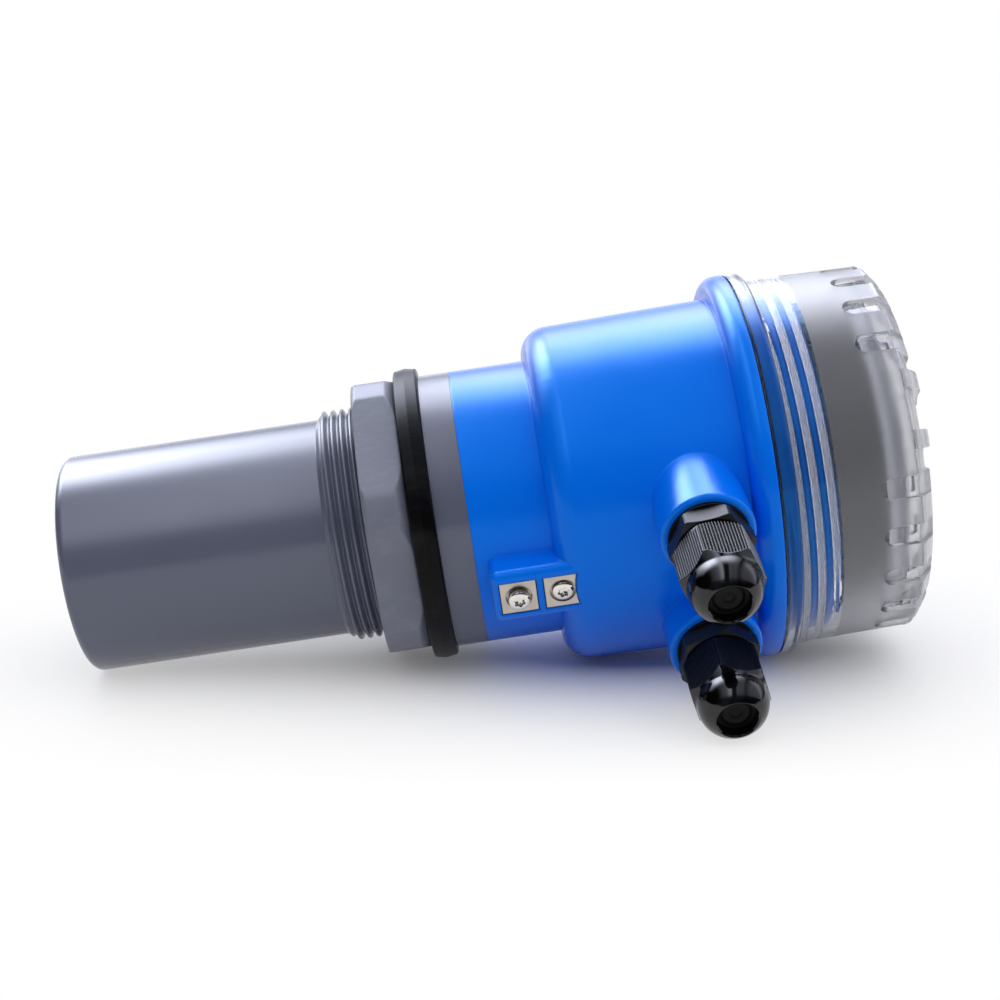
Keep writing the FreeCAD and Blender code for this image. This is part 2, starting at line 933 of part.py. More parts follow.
def display_module():
    outer = module_radius
    inner = outer - module_wall
    form = turned([
        (0, module_plate_bottom),
        (inner, module_plate_bottom),
        (inner, module_start + module_foot),
        (outer - module_foot_width, module_start + module_foot),
        (outer - module_foot_width, module_start),
        (outer, module_start),
        (outer, module_top - module_edge),
        (outer - module_edge, module_top),
        (outer - module_wall, module_top),
        (outer - module_wall, module_plate_top),
        (0, module_plate_top),
    ])
    groove_start = module_top - flute_drop - flute_length
    groove = block(flute_depth * 2, flute_width, flute_length, outer, 0, groove_start)
    for flute in range(flute_count):
        form = form.cut(spun(groove, 360.0 / flute_count * (flute + 0.5)))
    width, depth = window_size
    window_seat = module_plate_top - window_thickness
    form = form.cut(block(width, depth, window_thickness, 0, window_place, window_seat))
    ledge = 2 * window_ledge
    form = form.cut(block(width - ledge, depth - ledge, module_plate, 0, window_place, module_plate_bottom))
    for x in key_places():
        form = form.cut(disc(key_radius + key_clearance, module_plate_bottom, module_plate, x, key_place))
    for angle in post_angles:
        x, y = polar(post_circle, angle)
        form = form.cut(disc(module_screw_radius + inner_fit, module_start, module_foot, x, y))
    for angle in board_boss_angles:
        x, y = polar(display_boss_circle, angle)
        form = form.fuse(disc(display_boss_radius, display_board_top, display_board_drop, x, y))
    return form


def module_screws():
    screws = []
    start = module_start + module_foot
    shank_start = start - module_screw_length
    for angle in post_angles:
        x, y = polar(post_circle, angle)
        shank = disc(module_screw_radius - screw_fit, shank_start, module_screw_length, x, y)
        screws.append(shank.fuse(disc(module_screw_head, start, module_screw_head_height, x, y)))
    return Part.makeCompound(screws)


def display_board():
    return disc(display_board_radius, display_board_top - board_thickness, board_thickness)


def lcd_panel():
    width, depth, height = lcd_size
    return block(width, depth, height, 0, window_place, display_board_top)


def display_window():
    width, depth = window_size
    fit = 2 * window_fit
    start = module_plate_top - window_thickness
    return block(width - fit, depth - fit, window_thickness, 0, window_place, start)


def key_bottom():
    return module_plate_bottom - key_clearance - key_flange_thickness


def key_switches():
    height = key_bottom() - key_travel - key_stop_gap - display_board_top
    pads = []
    for x in key_places():
        pads.append(block(switch_size, switch_size, height, x, key_place, display_board_top))
    return Part.makeCompound(pads)


def display_key(x):
    bottom = key_bottom()
    top = module_plate_top + key_proud
    cap = disc(key_radius, bottom, top - bottom, x, key_place)
    edge = [rim for rim in cap.Edges if rim.BoundBox.ZMin > top - 0.01]
    cap = cap.makeChamfer(key_edge, edge)
    return cap.fuse(disc(key_radius + key_flange, bottom, key_flange_thickness, x, key_place))


def save(name, shape):
    for solid in shape.Solids:
        if not solid.isValid() or solid.Volume <= 0:
            raise ValueError(name + " holds a faulty solid")
    shape.exportStep("parts/" + name + ".step")


def main():
    os.makedirs("parts", exist_ok=True)
    single_parts = (
        transducer_shell, matching_layer, piezo_disc, piezo_sleeve, backing_disc, transducer_potting,
        temperature_probe, transducer_leads, shell_seal, process_gasket, lock_nut, main_housing,
        earth_screws, earth_inserts, lid_seal, lid, electronics_cup, main_board, board_screws,
        drive_transformer, board_capacitors, wire_terminals, terminal_screws, display_posts,
        display_module, module_screws, display_board, lcd_panel, display_window, key_switches,
    )
    for make in single_parts:
        save(make.__name__, make())
    for name, station in zip(("lower", "upper"), plate_stations):
        save("earth_plate_" + name, earth_plate(station))
    sides = zip(("left", "right"), gland_places(), gland_hex_angles, dome_nut_angles)
    for side, x, hex_angle, nut_angle in sides:
        save("gland_washer_" + side, gland_washer(x))
        save("gland_body_" + side, gland_body(x, hex_angle))
        save("seal_bush_" + side, seal_bush(x))
        save("dome_nut_" + side, dome_nut(x, nut_angle))
    for number, x in enumerate(key_places(), start=1):
        save("display_key_" + str(number), display_key(x))


main()
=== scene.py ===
"""Dresses the ultrasonic level sensor: its finishes, threads, ribs and lid, the table and the light.

Sizes are in millimetres in the classes and are turned to metres where a mesh is made.
"""

import logging
import math
from collections.abc import Callable, Iterator
from contextlib import contextmanager
from dataclasses import dataclass
from enum import Enum
from functools import cache

import bmesh
import bpy
from bpy.types import Material, Node, NodeSocket, NodeTree, Object
from mathutils import Matrix, Vector


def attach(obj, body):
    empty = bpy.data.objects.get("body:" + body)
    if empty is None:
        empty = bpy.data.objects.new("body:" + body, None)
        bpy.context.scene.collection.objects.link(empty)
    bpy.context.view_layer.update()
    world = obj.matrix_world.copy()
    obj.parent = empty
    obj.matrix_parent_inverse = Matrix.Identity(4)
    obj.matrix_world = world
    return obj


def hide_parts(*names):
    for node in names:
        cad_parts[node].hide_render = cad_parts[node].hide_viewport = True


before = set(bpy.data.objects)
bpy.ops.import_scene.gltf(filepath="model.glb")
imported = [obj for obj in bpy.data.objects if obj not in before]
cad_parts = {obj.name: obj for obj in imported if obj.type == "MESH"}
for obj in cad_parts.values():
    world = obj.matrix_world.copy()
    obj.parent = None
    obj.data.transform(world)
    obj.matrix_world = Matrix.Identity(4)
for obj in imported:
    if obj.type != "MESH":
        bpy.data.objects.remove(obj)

LOG = logging.getLogger("level_sensor")
MM = 0.001
MERGED = 1e-6  # Points nearer than this, in metres, are one.
NOISE_BAND = {"From Min": 0.3, "From Max": 0.7}  # Where a noise mostly lies.
WHITE = (1.0, 1.0, 1.0, 1.0)
Pair = tuple[float, float]
Triple = tuple[float, float, float]


def metres(*lengths: float) -> Vector:
    """Turns millimetres to a vector in metres."""
    return Vector(lengths) * MM


# Selecting and shaping


def rest() -> None:
    """Leaves edit mode and deselects everything."""
    active = bpy.context.view_layer.objects.active
    if active is not None and active.mode != "OBJECT":
        bpy.ops.object.mode_set(mode="OBJECT")
    bpy.ops.object.select_all(action="DESELECT")


def take(piece: Object) -> None:
    """Makes one piece the only selected and active one.

    Args:
        piece: The piece.
    """
    rest()
    piece.select_set(True)
    bpy.context.view_layer.objects.active = piece


@contextmanager
def editing(piece: Object) -> Iterator[None]:
    """Opens a piece in edit mode with everything selected, and closes it at the end.

    Args:
        piece: The mesh to work on.
    """
    take(piece)
    bpy.ops.object.mode_set(mode="EDIT")
    bpy.ops.mesh.select_all(action="SELECT")
    yield
    bpy.ops.object.mode_set(mode="OBJECT")


def pick(piece: Object, rule: Callable[[Vector], bool]) -> None:
    """Selects in edit mode the vertices whose place keeps a rule.

    Args:
        piece: The mesh, in edit mode.
        rule: Says of a vertex's place, in metres, whether it is taken.
    """
    bpy.ops.mesh.select_all(action="DESELECT")
    bpy.ops.mesh.select_mode(type="VERT")
    mesh = bmesh.from_edit_mesh(piece.data)
    for vertex in mesh.verts:
        vertex.select_set(rule(vertex.co))
    mesh.select_flush_mode()
    bmesh.update_edit_mesh(piece.data)


def narrow(piece: Object, radii: Pair, share: float, rule: Callable[[Vector], bool]) -> None:
    """Brings a zone of a piece nearer to the axis.

    Args:
        piece: The mesh.
        radii: Between which radii the zone lies.
        share: How much of its radius the zone keeps.
        rule: Says of a vertex's place, in metres, whether it can be in the zone.
    """
    low, high = radii
    with editing(piece):
        pick(piece, lambda p: low < math.hypot(p.x, p.y) / MM < high and rule(p))
        bpy.ops.transform.resize(value=(share, share, 1), center_override=(0, 0, 0))


def modify(piece: Object, kind: str, **settings: object) -> None:
    """Adds one modifier to a piece and applies it.

    Args:
        piece: The mesh.
        kind: The modifier's type.
        settings: The modifier's own settings.
    """
    take(piece)
    modifier = piece.modifiers.new(kind.lower(), kind)
    for name, value in settings.items():
        setattr(modifier, name, value)
    bpy.ops.object.modifier_apply(modifier=modifier.name)


def settle(piece: Object, lay: Matrix | None = None) -> Object:
    """Puts a piece's place into its mesh, so that its object sits at the origin.

    Args:
        piece: The piece.
        lay: Where it is laid first, if it isn't in its place yet.

    Returns:
        The piece.
    """
    if lay is not None:
        piece.matrix_world = lay
    take(piece)
    bpy.ops.object.transform_apply(location=True, rotation=True, scale=True)
    return piece


def smooth(piece: Object, angle: float = 30.0, weighted: bool = True) -> None:
    """Shades a piece smooth, up to an angle in degrees.

    Args:
        piece: The mesh.
        angle: Edges sharper than this stay hard.
        weighted: Lets the large faces keep their own normal.
    """
    take(piece)
    bpy.ops.object.shade_smooth_by_angle(angle=math.radians(angle))
    if weighted:
        modify(piece, "WEIGHTED_NORMAL", keep_sharp=True, weight=90)


def copied(node: str, name: str) -> Object:
    """Copies a node's mesh into a new piece and merges its loose triangles.

    Args:
        node: The node to copy.
        name: The new piece's name.

    Returns:
        The new piece, without a parent.
    """
    piece = bpy.data.objects.new(name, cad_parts[node].data.copy())
    bpy.context.scene.collection.objects.link(piece)
    take(piece)
    bpy.ops.mesh.customdata_custom_splitnormals_clear()
    with editing(piece):
        bpy.ops.mesh.remove_doubles(threshold=MERGED)
    return piece


def face_out(piece: Object) -> Object:
    """Flips a closed piece if its faces look inwards.

    Args:
        piece: The closed mesh.

    Returns:
        The piece.
    """
    if sum(face.center.dot(face.normal) * face.area for face in piece.data.polygons) < 0:
        with editing(piece):
            bpy.ops.mesh.flip_normals()
    return piece


def lathe(name: str, profile: tuple[Pair, ...], steps: int = 96) -> Object:
    """Turns a profile about Z.

    Args:
        name: The new piece's name.
        profile: Points as radius and height in millimetres, from one end to the other.
        steps: How many steps make a full turn.

    Returns:
        The turned piece, with its doubles merged and its faces outwards.
    """
    rest()
    bpy.ops.mesh.primitive_plane_add(size=MM, location=metres(profile[0][0], 0, profile[0][1]))
    piece = settle(bpy.context.object)
    piece.name = piece.data.name = name
    with editing(piece):
        bpy.ops.mesh.merge(type="CENTER")
        for last, point in zip(profile, profile[1:]):
            step = metres(point[0] - last[0], 0, point[1] - last[1])
            bpy.ops.mesh.extrude_vertices_move(TRANSFORM_OT_translate={"value": step})
        bpy.ops.mesh.select_all(action="SELECT")
        bpy.ops.mesh.spin(steps=steps, angle=math.tau, center=(0, 0, 0), axis=(0, 0, 1))
        bpy.ops.mesh.select_all(action="SELECT")
        bpy.ops.mesh.remove_doubles(threshold=MERGED)
        bpy.ops.mesh.normals_make_consistent(inside=False)
    return face_out(piece)


@dataclass(frozen=True)
class ThreadRidge:
    """One helical ridge of a screw thread, all in millimetres."""

    root: float
    crest: float
    pitch: float
    start: float
    turns: float
    foot_width: float
    crest_width: float
    rounding: float
    first_angle: float = 0.0
    run_out: float = 0.12
    steps_per_turn: int = 96

    def build(self, name: str) -> Object:
        """Sweeps the ridge's section along its helix.

        Args:
            name: The new piece's name.

        Returns:
            A closed ridge that sinks into the root at both ends.
        """
        rest()
        middle = (self.root + self.crest) / 2
        outward = self.crest > self.root
        bpy.ops.mesh.primitive_plane_add(
            size=1, location=metres(middle, 0, self.start), rotation=(math.pi / 2, 0, 0))
        ridge = bpy.context.object
        ridge.name = ridge.data.name = name
        ridge.scale = metres(abs(self.crest - self.root), self.foot_width, 1)
        with editing(settle(ridge)):
            pick(ridge, lambda place: (place.x > middle * MM) == outward)
            bpy.ops.transform.resize(value=(1, 1, self.crest_width / self.foot_width))
            bpy.ops.mesh.bevel(offset=self.rounding * MM, segments=3, affect="VERTICES")
            bpy.ops.mesh.select_all(action="SELECT")
            bpy.ops.mesh.delete(type="ONLY_FACE")
            bpy.ops.mesh.select_all(action="SELECT")
            bpy.ops.transform.rotate(
                value=-math.radians(self.first_angle), orient_axis="Z", center_override=(0, 0, 0))
        section = len(ridge.data.vertices)
        steps = round(self.steps_per_turn * self.turns)
        modify(
            ridge, "SCREW", angle=math.tau * self.turns, screw_offset=self.pitch * self.turns * MM,
            steps=steps, render_steps=steps, use_merge_vertices=False)
        self.run_in(ridge, section)
        with editing(ridge):
            bpy.ops.mesh.select_all(action="DESELECT")
            bpy.ops.mesh.select_non_manifold()
            bpy.ops.mesh.fill()
            bpy.ops.mesh.select_all(action="SELECT")
            bpy.ops.mesh.normals_make_consistent(inside=False)
        return face_out(ridge)

    def run_in(self, ridge: Object, section: int) -> None:
        """Lets the ridge sink into its root over part of a turn at both ends.

        Args:
            ridge: The swept ridge.
            section: How many vertices its section has.
        """
        vertices = ridge.data.vertices
        last = len(vertices) // section - 1
        length = self.run_out * self.steps_per_turn
        for vertex in vertices:
            step = vertex.index // section
            share = min(1.0, step / length, (last - step) / length)
            radius = math.hypot(vertex.co.x, vertex.co.y)
            height = share * share * (3 - 2 * share)
            kept = self.root * MM + (radius - self.root * MM) * height
            vertex.co.x *= kept / radius
            vertex.co.y *= kept / radius

    def add_to(self, body: Object, name: str) -> None:
        """Builds the ridge and joins it to a body.

        Args:
            body: The body that has the thread.
            name: The ridge's name.
        """
        ridge = self.build(name)
        smooth(ridge, 50, weighted=False)
        joined(body, ridge)


def joined(piece: Object, *others: Object) -> Object:
    """Joins other meshes into a piece.

    Args:
        piece: The mesh that stays.
        others: The meshes that go into it.

    Returns:
        The piece.
    """
    take(piece)
    for other in others:
        other.select_set(True)
    bpy.ops.object.join()
    return piece


class Tooling(Enum):
    """What a tool mesh does to a piece."""

    CUT = "DIFFERENCE"
    UNITE = "UNION"
    KEEP_COMMON = "INTERSECT"


def combine(piece: Object, tool: Object, tooling: Tooling) -> Object:
    """Cuts or unites a piece with a tool mesh, and removes the tool.

    Args:
        piece: The mesh that stays.
        tool: The closed mesh that it is combined with.
        tooling: What the tool does.

    Returns:
        The piece.
    """
    modify(piece, "BOOLEAN", operation=tooling.value, solver="EXACT", object=tool)
    bpy.data.objects.remove(tool)
    return piece


# Finishes


def linear(code: str) -> tuple[float, ...]:
    """Turns an sRGB hex colour to linear.

    Args:
        code: The colour, as # and six digits.

    Returns:
        Its linear channels, with full opacity.
    """
    channels = [int(code[place:place + 2], 16) / 255 for place in (1, 3, 5)]
    turned = [c / 12.92 if c <= 0.04045 else ((c + 0.055) / 1.055) ** 2.4 for c in channels]
    return (*turned, 1.0)


def scaled(colour: tuple[float, ...], share: float) -> tuple[float, ...]:
    """Makes a linear colour lighter or darker, and keeps it opaque."""
    return (*(min(1.0, channel * share) for channel in colour[:3]), 1.0)


def add(tree: NodeTree, kind: str, inputs: dict | None = None, **settings: object) -> Node:
    """Adds one node.

    Args:
        tree: The node tree.
        kind: The node's type name, without ShaderNode.
        inputs: What goes in, by the input's name or number: a value, an output socket, or a
            node, which gives the first of its outputs that is in use.
        settings: The node's own settings.

    Returns:
        The new node.
    """
    node = tree.nodes.new("ShaderNode" + kind)
    for name, value in settings.items():
        setattr(node, name, value)
    for key, value in (inputs or {}).items():
        if isinstance(value, Node):
            value = next(socket for socket in value.outputs if socket.enabled)
        if isinstance(value, NodeSocket):
            tree.links.new(value, node.inputs[key])
        else:
            node.inputs[key].default_value = value
    return node


class Grain(Enum):
    """How a surface was left by its mould or tool."""

    POLISHED = 0.0
    SATIN = 0.5
    SPARKED = 1.0


@dataclass(frozen=True)
class Finish:
    """What every finish has: the real material's name, a colour and a soft edge."""

    name: str
    colour: str
    roughness: float = 0.4
    edge: float = 0.25

    @cache
    def material(self) -> Material:
        """Makes the material, the first time that it is asked for.

        Returns:
            The material.
        """
        material = bpy.data.materials.new(self.name)
        material.use_nodes = True
        material.diffuse_color = linear(self.colour)
        tree = material.node_tree
        tree.nodes.clear()
        shader = self.shade(tree, add(tree, "TexCoord").outputs["Object"])
        add(tree, "OutputMaterial", {"Surface": shader})
        return material

    def shade(self, tree: NodeTree, place: NodeSocket) -> Node:
        """Adds the nodes that give the finish its look.

        Args:
            tree: The node tree.
            place: Object coordinates.

        Returns:
            The shader that the surface takes.
        """
        raise NotImplementedError

    def soft_edge(self, tree: NodeTree) -> Node:
        """Rounds the light on edges by the finish's edge radius."""
        return add(tree, "Bevel", {"Radius": self.edge * MM}, samples=6)


@dataclass(frozen=True)
class Moulded(Finish):
    """A moulded plastic or rubber: its grain, slow colour drift and rubbed marks."""

    grain: Grain = Grain.SATIN
    grain_size: float = 0.35
    grain_height: float = 0.006
    cloud_size: float = 22.0
    drift: float = 0.04
    rough_drift: float = 0.12
    scuffs: float = 0.0
    scuff_colour: str = "#C8CCD6"
    scuff_size: float = 7.0
    scuff_slants: Pair = (0.7, -0.5)
    scuff_stretch: Triple = (1.0, 4.0, 1.0)
    scuff_roughness: float = 0.25
    specular: float = 0.5
    specular_tint: str = "#FFFFFF"
    ior: float = 1.5

    def shade(self, tree: NodeTree, place: NodeSocket) -> Node:
        """Adds the drift, the marks and the grain, as Finish.shade says."""
        cloud = add(tree, "TexNoise", {
            "Vector": place, "Scale": 1 / (self.cloud_size * MM), "Detail": 3.0})
        fine = add(tree, "TexNoise", {
            "Vector": place, "Scale": 1 / (self.grain_size * MM), "Detail": 2.0, "Roughness": 0.55})
        base = linear(self.colour)
        colour = add(tree, "Mix", {
            0: cloud, 6: scaled(base, 1 - self.drift), 7: scaled(base, 1 + self.drift)},
            data_type="RGBA")
        rough = add(tree, "MapRange", {
            "Value": cloud, **NOISE_BAND, "To Min": self.roughness * (1 - self.rough_drift),
            "To Max": self.roughness * (1 + self.rough_drift)})
        if self.scuffs:
            mark = self.marks(tree, place)
            colour = add(tree, "Mix", {
                0: mark, 6: colour, 7: linear(self.scuff_colour)}, data_type="RGBA")
            rough = add(tree, "Math", {
                0: mark, 1: self.scuff_roughness, 2: rough}, operation="MULTIPLY_ADD")
        bump = add(tree, "Bump", {
            "Height": fine, "Distance": self.grain_height * MM,
            "Strength": 0.2 + 0.8 * self.grain.value, "Normal": self.soft_edge(tree)})
        return add(tree, "BsdfPrincipled", {
            "Base Color": colour, "Roughness": rough, "Normal": bump, "IOR": self.ior,
            "Specular IOR Level": self.specular, "Specular Tint": linear(self.specular_tint)})

    def marks(self, tree: NodeTree, place: NodeSocket) -> Node:
        """Draws rubbed streaks in two slants, as coarse as they need to be to show.

        Args:
            tree: The node tree.
            place: Object coordinates.

        Returns:
            How much of the scuff colour shows, from 0 to 1.
        """
        streaks = []
        for slant in self.scuff_slants:
            laid = add(tree, "Mapping", {
                "Vector": place, "Rotation": (slant, slant * 0.6, slant),
                "Scale": self.scuff_stretch})
            noise = add(tree, "TexNoise", {
                "Vector": laid, "Scale": 1 / (self.scuff_size * MM), "Detail": 9.0,
                "Roughness": 0.62})
            streaks.append(add(tree, "MapRange", {
                "Value": noise, "From Min": 0.52, "From Max": 0.8, "To Max": self.scuffs}))
        return add(tree, "Math", dict(enumerate(streaks)), operation="MAXIMUM")


@dataclass(frozen=True)
class Metal(Finish):
    """A plated or turned metal with brush lines along one direction and a dull tarnish."""

    brush: Triple = (1.0, 1.0, 1.0)
    brush_size: float = 0.25
    brush_height: float = 0.002
    stain_size: float = 3.0
    tarnish: float = 0.2
    tarnish_share: float = 0.72

    def shade(self, tree: NodeTree, place: NodeSocket) -> Node:
        """Adds the brush lines and the tarnish, as Finish.shade says."""
        laid = add(tree, "Mapping", {"Vector": place, "Scale": self.brush})
        lines = add(tree, "TexNoise", {
            "Vector": laid, "Scale": 1 / (self.brush_size * MM), "Detail": 3.0})
        stain = add(tree, "TexNoise", {
            "Vector": place, "Scale": 1 / (self.stain_size * MM), "Detail": 4.0})
        dull = add(tree, "MapRange", {
            "Value": stain, "From Min": 0.45, "From Max": 0.75, "To Max": self.tarnish})
        base = linear(self.colour)
        colour = add(tree, "Mix", {
            0: dull, 6: base, 7: scaled(base, self.tarnish_share)}, data_type="RGBA")
        rough = add(tree, "MapRange", {
            "Value": lines, **NOISE_BAND, "To Min": self.roughness * 0.8,
            "To Max": self.roughness * 1.25})
        bump = add(tree, "Bump", {
            "Height": lines, "Distance": self.brush_height * MM, "Strength": 0.6,
            "Normal": self.soft_edge(tree)})
        return add(tree, "BsdfPrincipled", {
            "Base Color": colour, "Metallic": 1.0, "Roughness": rough, "Normal": bump})


@dataclass(frozen=True)
class ClearLidPlastic(Finish):
    """Clear polycarbonate: polished skirt, hazy thread ridges, frosted wall and thick crown.

    The ridges gather white light and the crown's rim keeps light in, which makes it greyish.
    The skirt's gleam is tinted blue, a painted reflection of the flange beside it.
    """

    ior: float = 1.585
    frost: float = 0.42
    crown_frost: float = 0.25
    crown_tone: str = "#E8E8EC"
    # Painted reflection: the blue that tints the skirt's reflections.
    skirt_painted_reflection_tint: str = "#4AA0F0"
    polish: float = 0.07
    wall_haze: float = 0.03
    crown_haze: float = 0.3
    ridge_haze: float = 0.85
    frost_start: float = 187.4
    frost_end: float = 206.2
    outer_wall: float = 45.6
    ridge_foot: float = 43.3
    rim: float = 34.0
    rim_width: float = 6.0
    grain_size: float = 0.5
    grain_height: float = 0.004

    def shade(self, tree: NodeTree, place: NodeSocket) -> Node:
        """Adds the lid's zones, as Finish.shade says."""
        axes = add(tree, "SeparateXYZ", {"Vector": place})
        flat = add(tree, "CombineXYZ", {"X": axes.outputs["X"], "Y": axes.outputs["Y"]})
        radius = add(tree, "VectorMath", {0: flat}, operation="LENGTH")
        above = self.step(tree, axes.outputs["Z"], self.frost_start, 0.3)
        crown = self.step(tree, axes.outputs["Z"], self.frost_end, 0.8)
        outside = self.step(tree, radius, self.outer_wall, 0.3)
        ridgeless = self.step(tree, radius, self.ridge_foot, 0.5)
        outer_rim = self.step(tree, radius, self.rim, self.rim_width)
        wall = add(tree, "Math", {0: above, 1: outside}, operation="MULTIPLY")
        rim = add(tree, "Math", {0: crown, 1: outer_rim}, operation="MULTIPLY")
        solid = add(tree, "Math", {0: above, 1: ridgeless}, operation="MAXIMUM")
        level = add(tree, "Mix", {0: wall, 2: self.polish, 3: self.frost})
        level = add(tree, "Mix", {0: crown, 2: level, 3: self.crown_frost})
        clear = add(tree, "Mix", {0: solid, 2: 1.0 - self.ridge_haze, 3: 1.0})
        clear = add(tree, "Mix", {0: wall, 2: clear, 3: 1.0 - self.wall_haze})
        clear = add(tree, "Mix", {0: crown, 2: clear, 3: 1.0 - self.crown_haze})
        tone = add(tree, "Mix", {
            0: rim, 6: linear(self.colour), 7: linear(self.crown_tone)}, data_type="RGBA")
        # Painted reflection: the skirt's specular tint is blue, and white above the skirt.
        gleam = add(tree, "Mix", {
            0: above, 6: linear(self.skirt_painted_reflection_tint), 7: WHITE}, data_type="RGBA")
        fine = add(tree, "TexNoise", {
            "Vector": place, "Scale": 1 / (self.grain_size * MM), "Detail": 3.0})
        strength = add(tree, "Math", {0: wall, 1: 0.5}, operation="MULTIPLY")
        bump = add(tree, "Bump", {
            "Height": fine, "Distance": self.grain_height * MM, "Strength": strength})
        return add(tree, "BsdfPrincipled", {
            "Base Color": tone, "Roughness": level, "IOR": self.ior, "Specular Tint": gleam,
            "Transmission Weight": clear, "Normal": bump})

    def step(self, tree: NodeTree, value: Node | NodeSocket, middle: float, width: float) -> Node:
        """Rises from 0 to 1 about a place.

        Args:
            tree: The node tree.
            value: A coordinate in metres.
            middle: Where the rise is, in millimetres.
            width: How wide it is, in millimetres.

        Returns:
            The risen value.
        """
        return add(tree, "MapRange", {
            "Value": value, "From Min": (middle - width / 2) * MM,
            "From Max": (middle + width / 2) * MM}, interpolation_type="SMOOTHSTEP")


@dataclass(frozen=True)
class ClearPane(Finish):
    """A polished clear pane with faint smears."""

    ior: float = 1.49
    smear_size: float = 12.0

    def shade(self, tree: NodeTree, place: NodeSocket) -> Node:
        """Adds the smears, as Finish.shade says."""
        smear = add(tree, "TexNoise", {
            "Vector": place, "Scale": 1 / (self.smear_size * MM), "Detail": 4.0})
        rough = add(tree, "MapRange", {"Value": smear, "To Max": self.roughness})
        return add(tree, "BsdfPrincipled", {
            "Base Color": linear(self.colour), "Roughness": rough, "IOR": self.ior,
            "Transmission Weight": 1.0})


@dataclass(frozen=True)
class CircuitLaminate(Finish):
    """Glass-fibre laminate under solder mask, with copper tracks under it."""

    track_pitch: float = 1.6
    track_height: float = 0.03
    track_colour: str = "#2F7A45"

    def shade(self, tree: NodeTree, place: NodeSocket) -> Node:
        """Adds the tracks, as Finish.shade says."""
        tracks = add(tree, "TexBrick", {
            "Vector": place, "Scale": 1 / (self.track_pitch * 4 * MM), "Mortar Size": 0.03,
            "Color1": linear(self.colour), "Color2": linear(self.colour),
            "Mortar": linear(self.track_colour)})
        bump = add(tree, "Bump", {
            "Height": tracks.outputs["Fac"], "Distance": self.track_height * MM, "Strength": 0.6})
        return add(tree, "BsdfPrincipled", {
            "Base Color": tracks, "Roughness": self.roughness, "Normal": bump,
            "Coat Weight": 0.4, "Coat Roughness": 0.1})


@dataclass(frozen=True)
class TableLacquer(Finish):
    """White lacquered table top. It fades to plain white away from the sensor."""

    fade_centre: float = 35.0
    fade_oval: float = 0.35
    fade_start: float = 12.0
    fade_end: float = 85.0

    def shade(self, tree: NodeTree, place: NodeSocket) -> Node:
        """Adds the lacquer and its fade, clear from below, as Finish.shade says."""
        oval = add(tree, "Mapping", {
            "Vector": place, "Location": (-self.fade_centre * self.fade_oval * MM, 0, 0),
            "Scale": (self.fade_oval, 1.0, 1.0)})
        distance = add(tree, "VectorMath", {0: oval}, operation="LENGTH")
        far = add(tree, "MapRange", {
            "Value": distance, "From Min": self.fade_start * MM, "From Max": self.fade_end * MM})
        lacquer = add(tree, "BsdfPrincipled", {
            "Base Color": linear(self.colour), "Roughness": self.roughness,
            "Specular IOR Level": 0.03})
        glow = add(tree, "Emission", {"Color": WHITE, "Strength": 1.0})
        path = add(tree, "LightPath")
        seen = add(tree, "Math", {
            0: seen_straight(tree, path), 1: path.outputs["Is Glossy Ray"]}, operation="MAXIMUM")
        share = add(tree, "Math", {0: seen, 1: far}, operation="MULTIPLY")
        top = add(tree, "MixShader", {0: share, 1: lacquer, 2: glow})
        return add(tree, "MixShader", {
            0: add(tree, "NewGeometry").outputs["Backfacing"], 1: top,
            2: add(tree, "BsdfTransparent")})


def seen_straight(tree: NodeTree, path: Node) -> Node:
    """Tells what the eye sees, straight or through clear plastic, from what only gives light.

    Args:
        tree: The node tree.
        path: Its Light Path node.

    Returns:
        1 for what is seen and 0 for what only gives light.
    """
    first = add(tree, "Math", {0: path.outputs["Diffuse Depth"], 1: 0.5}, operation="LESS_THAN")
    through = add(tree, "Math", {
        0: path.outputs["Is Transmission Ray"], 1: first}, operation="MULTIPLY")
    return add(tree, "Math", {
        0: path.outputs["Is Camera Ray"], 1: through}, operation="MAXIMUM")


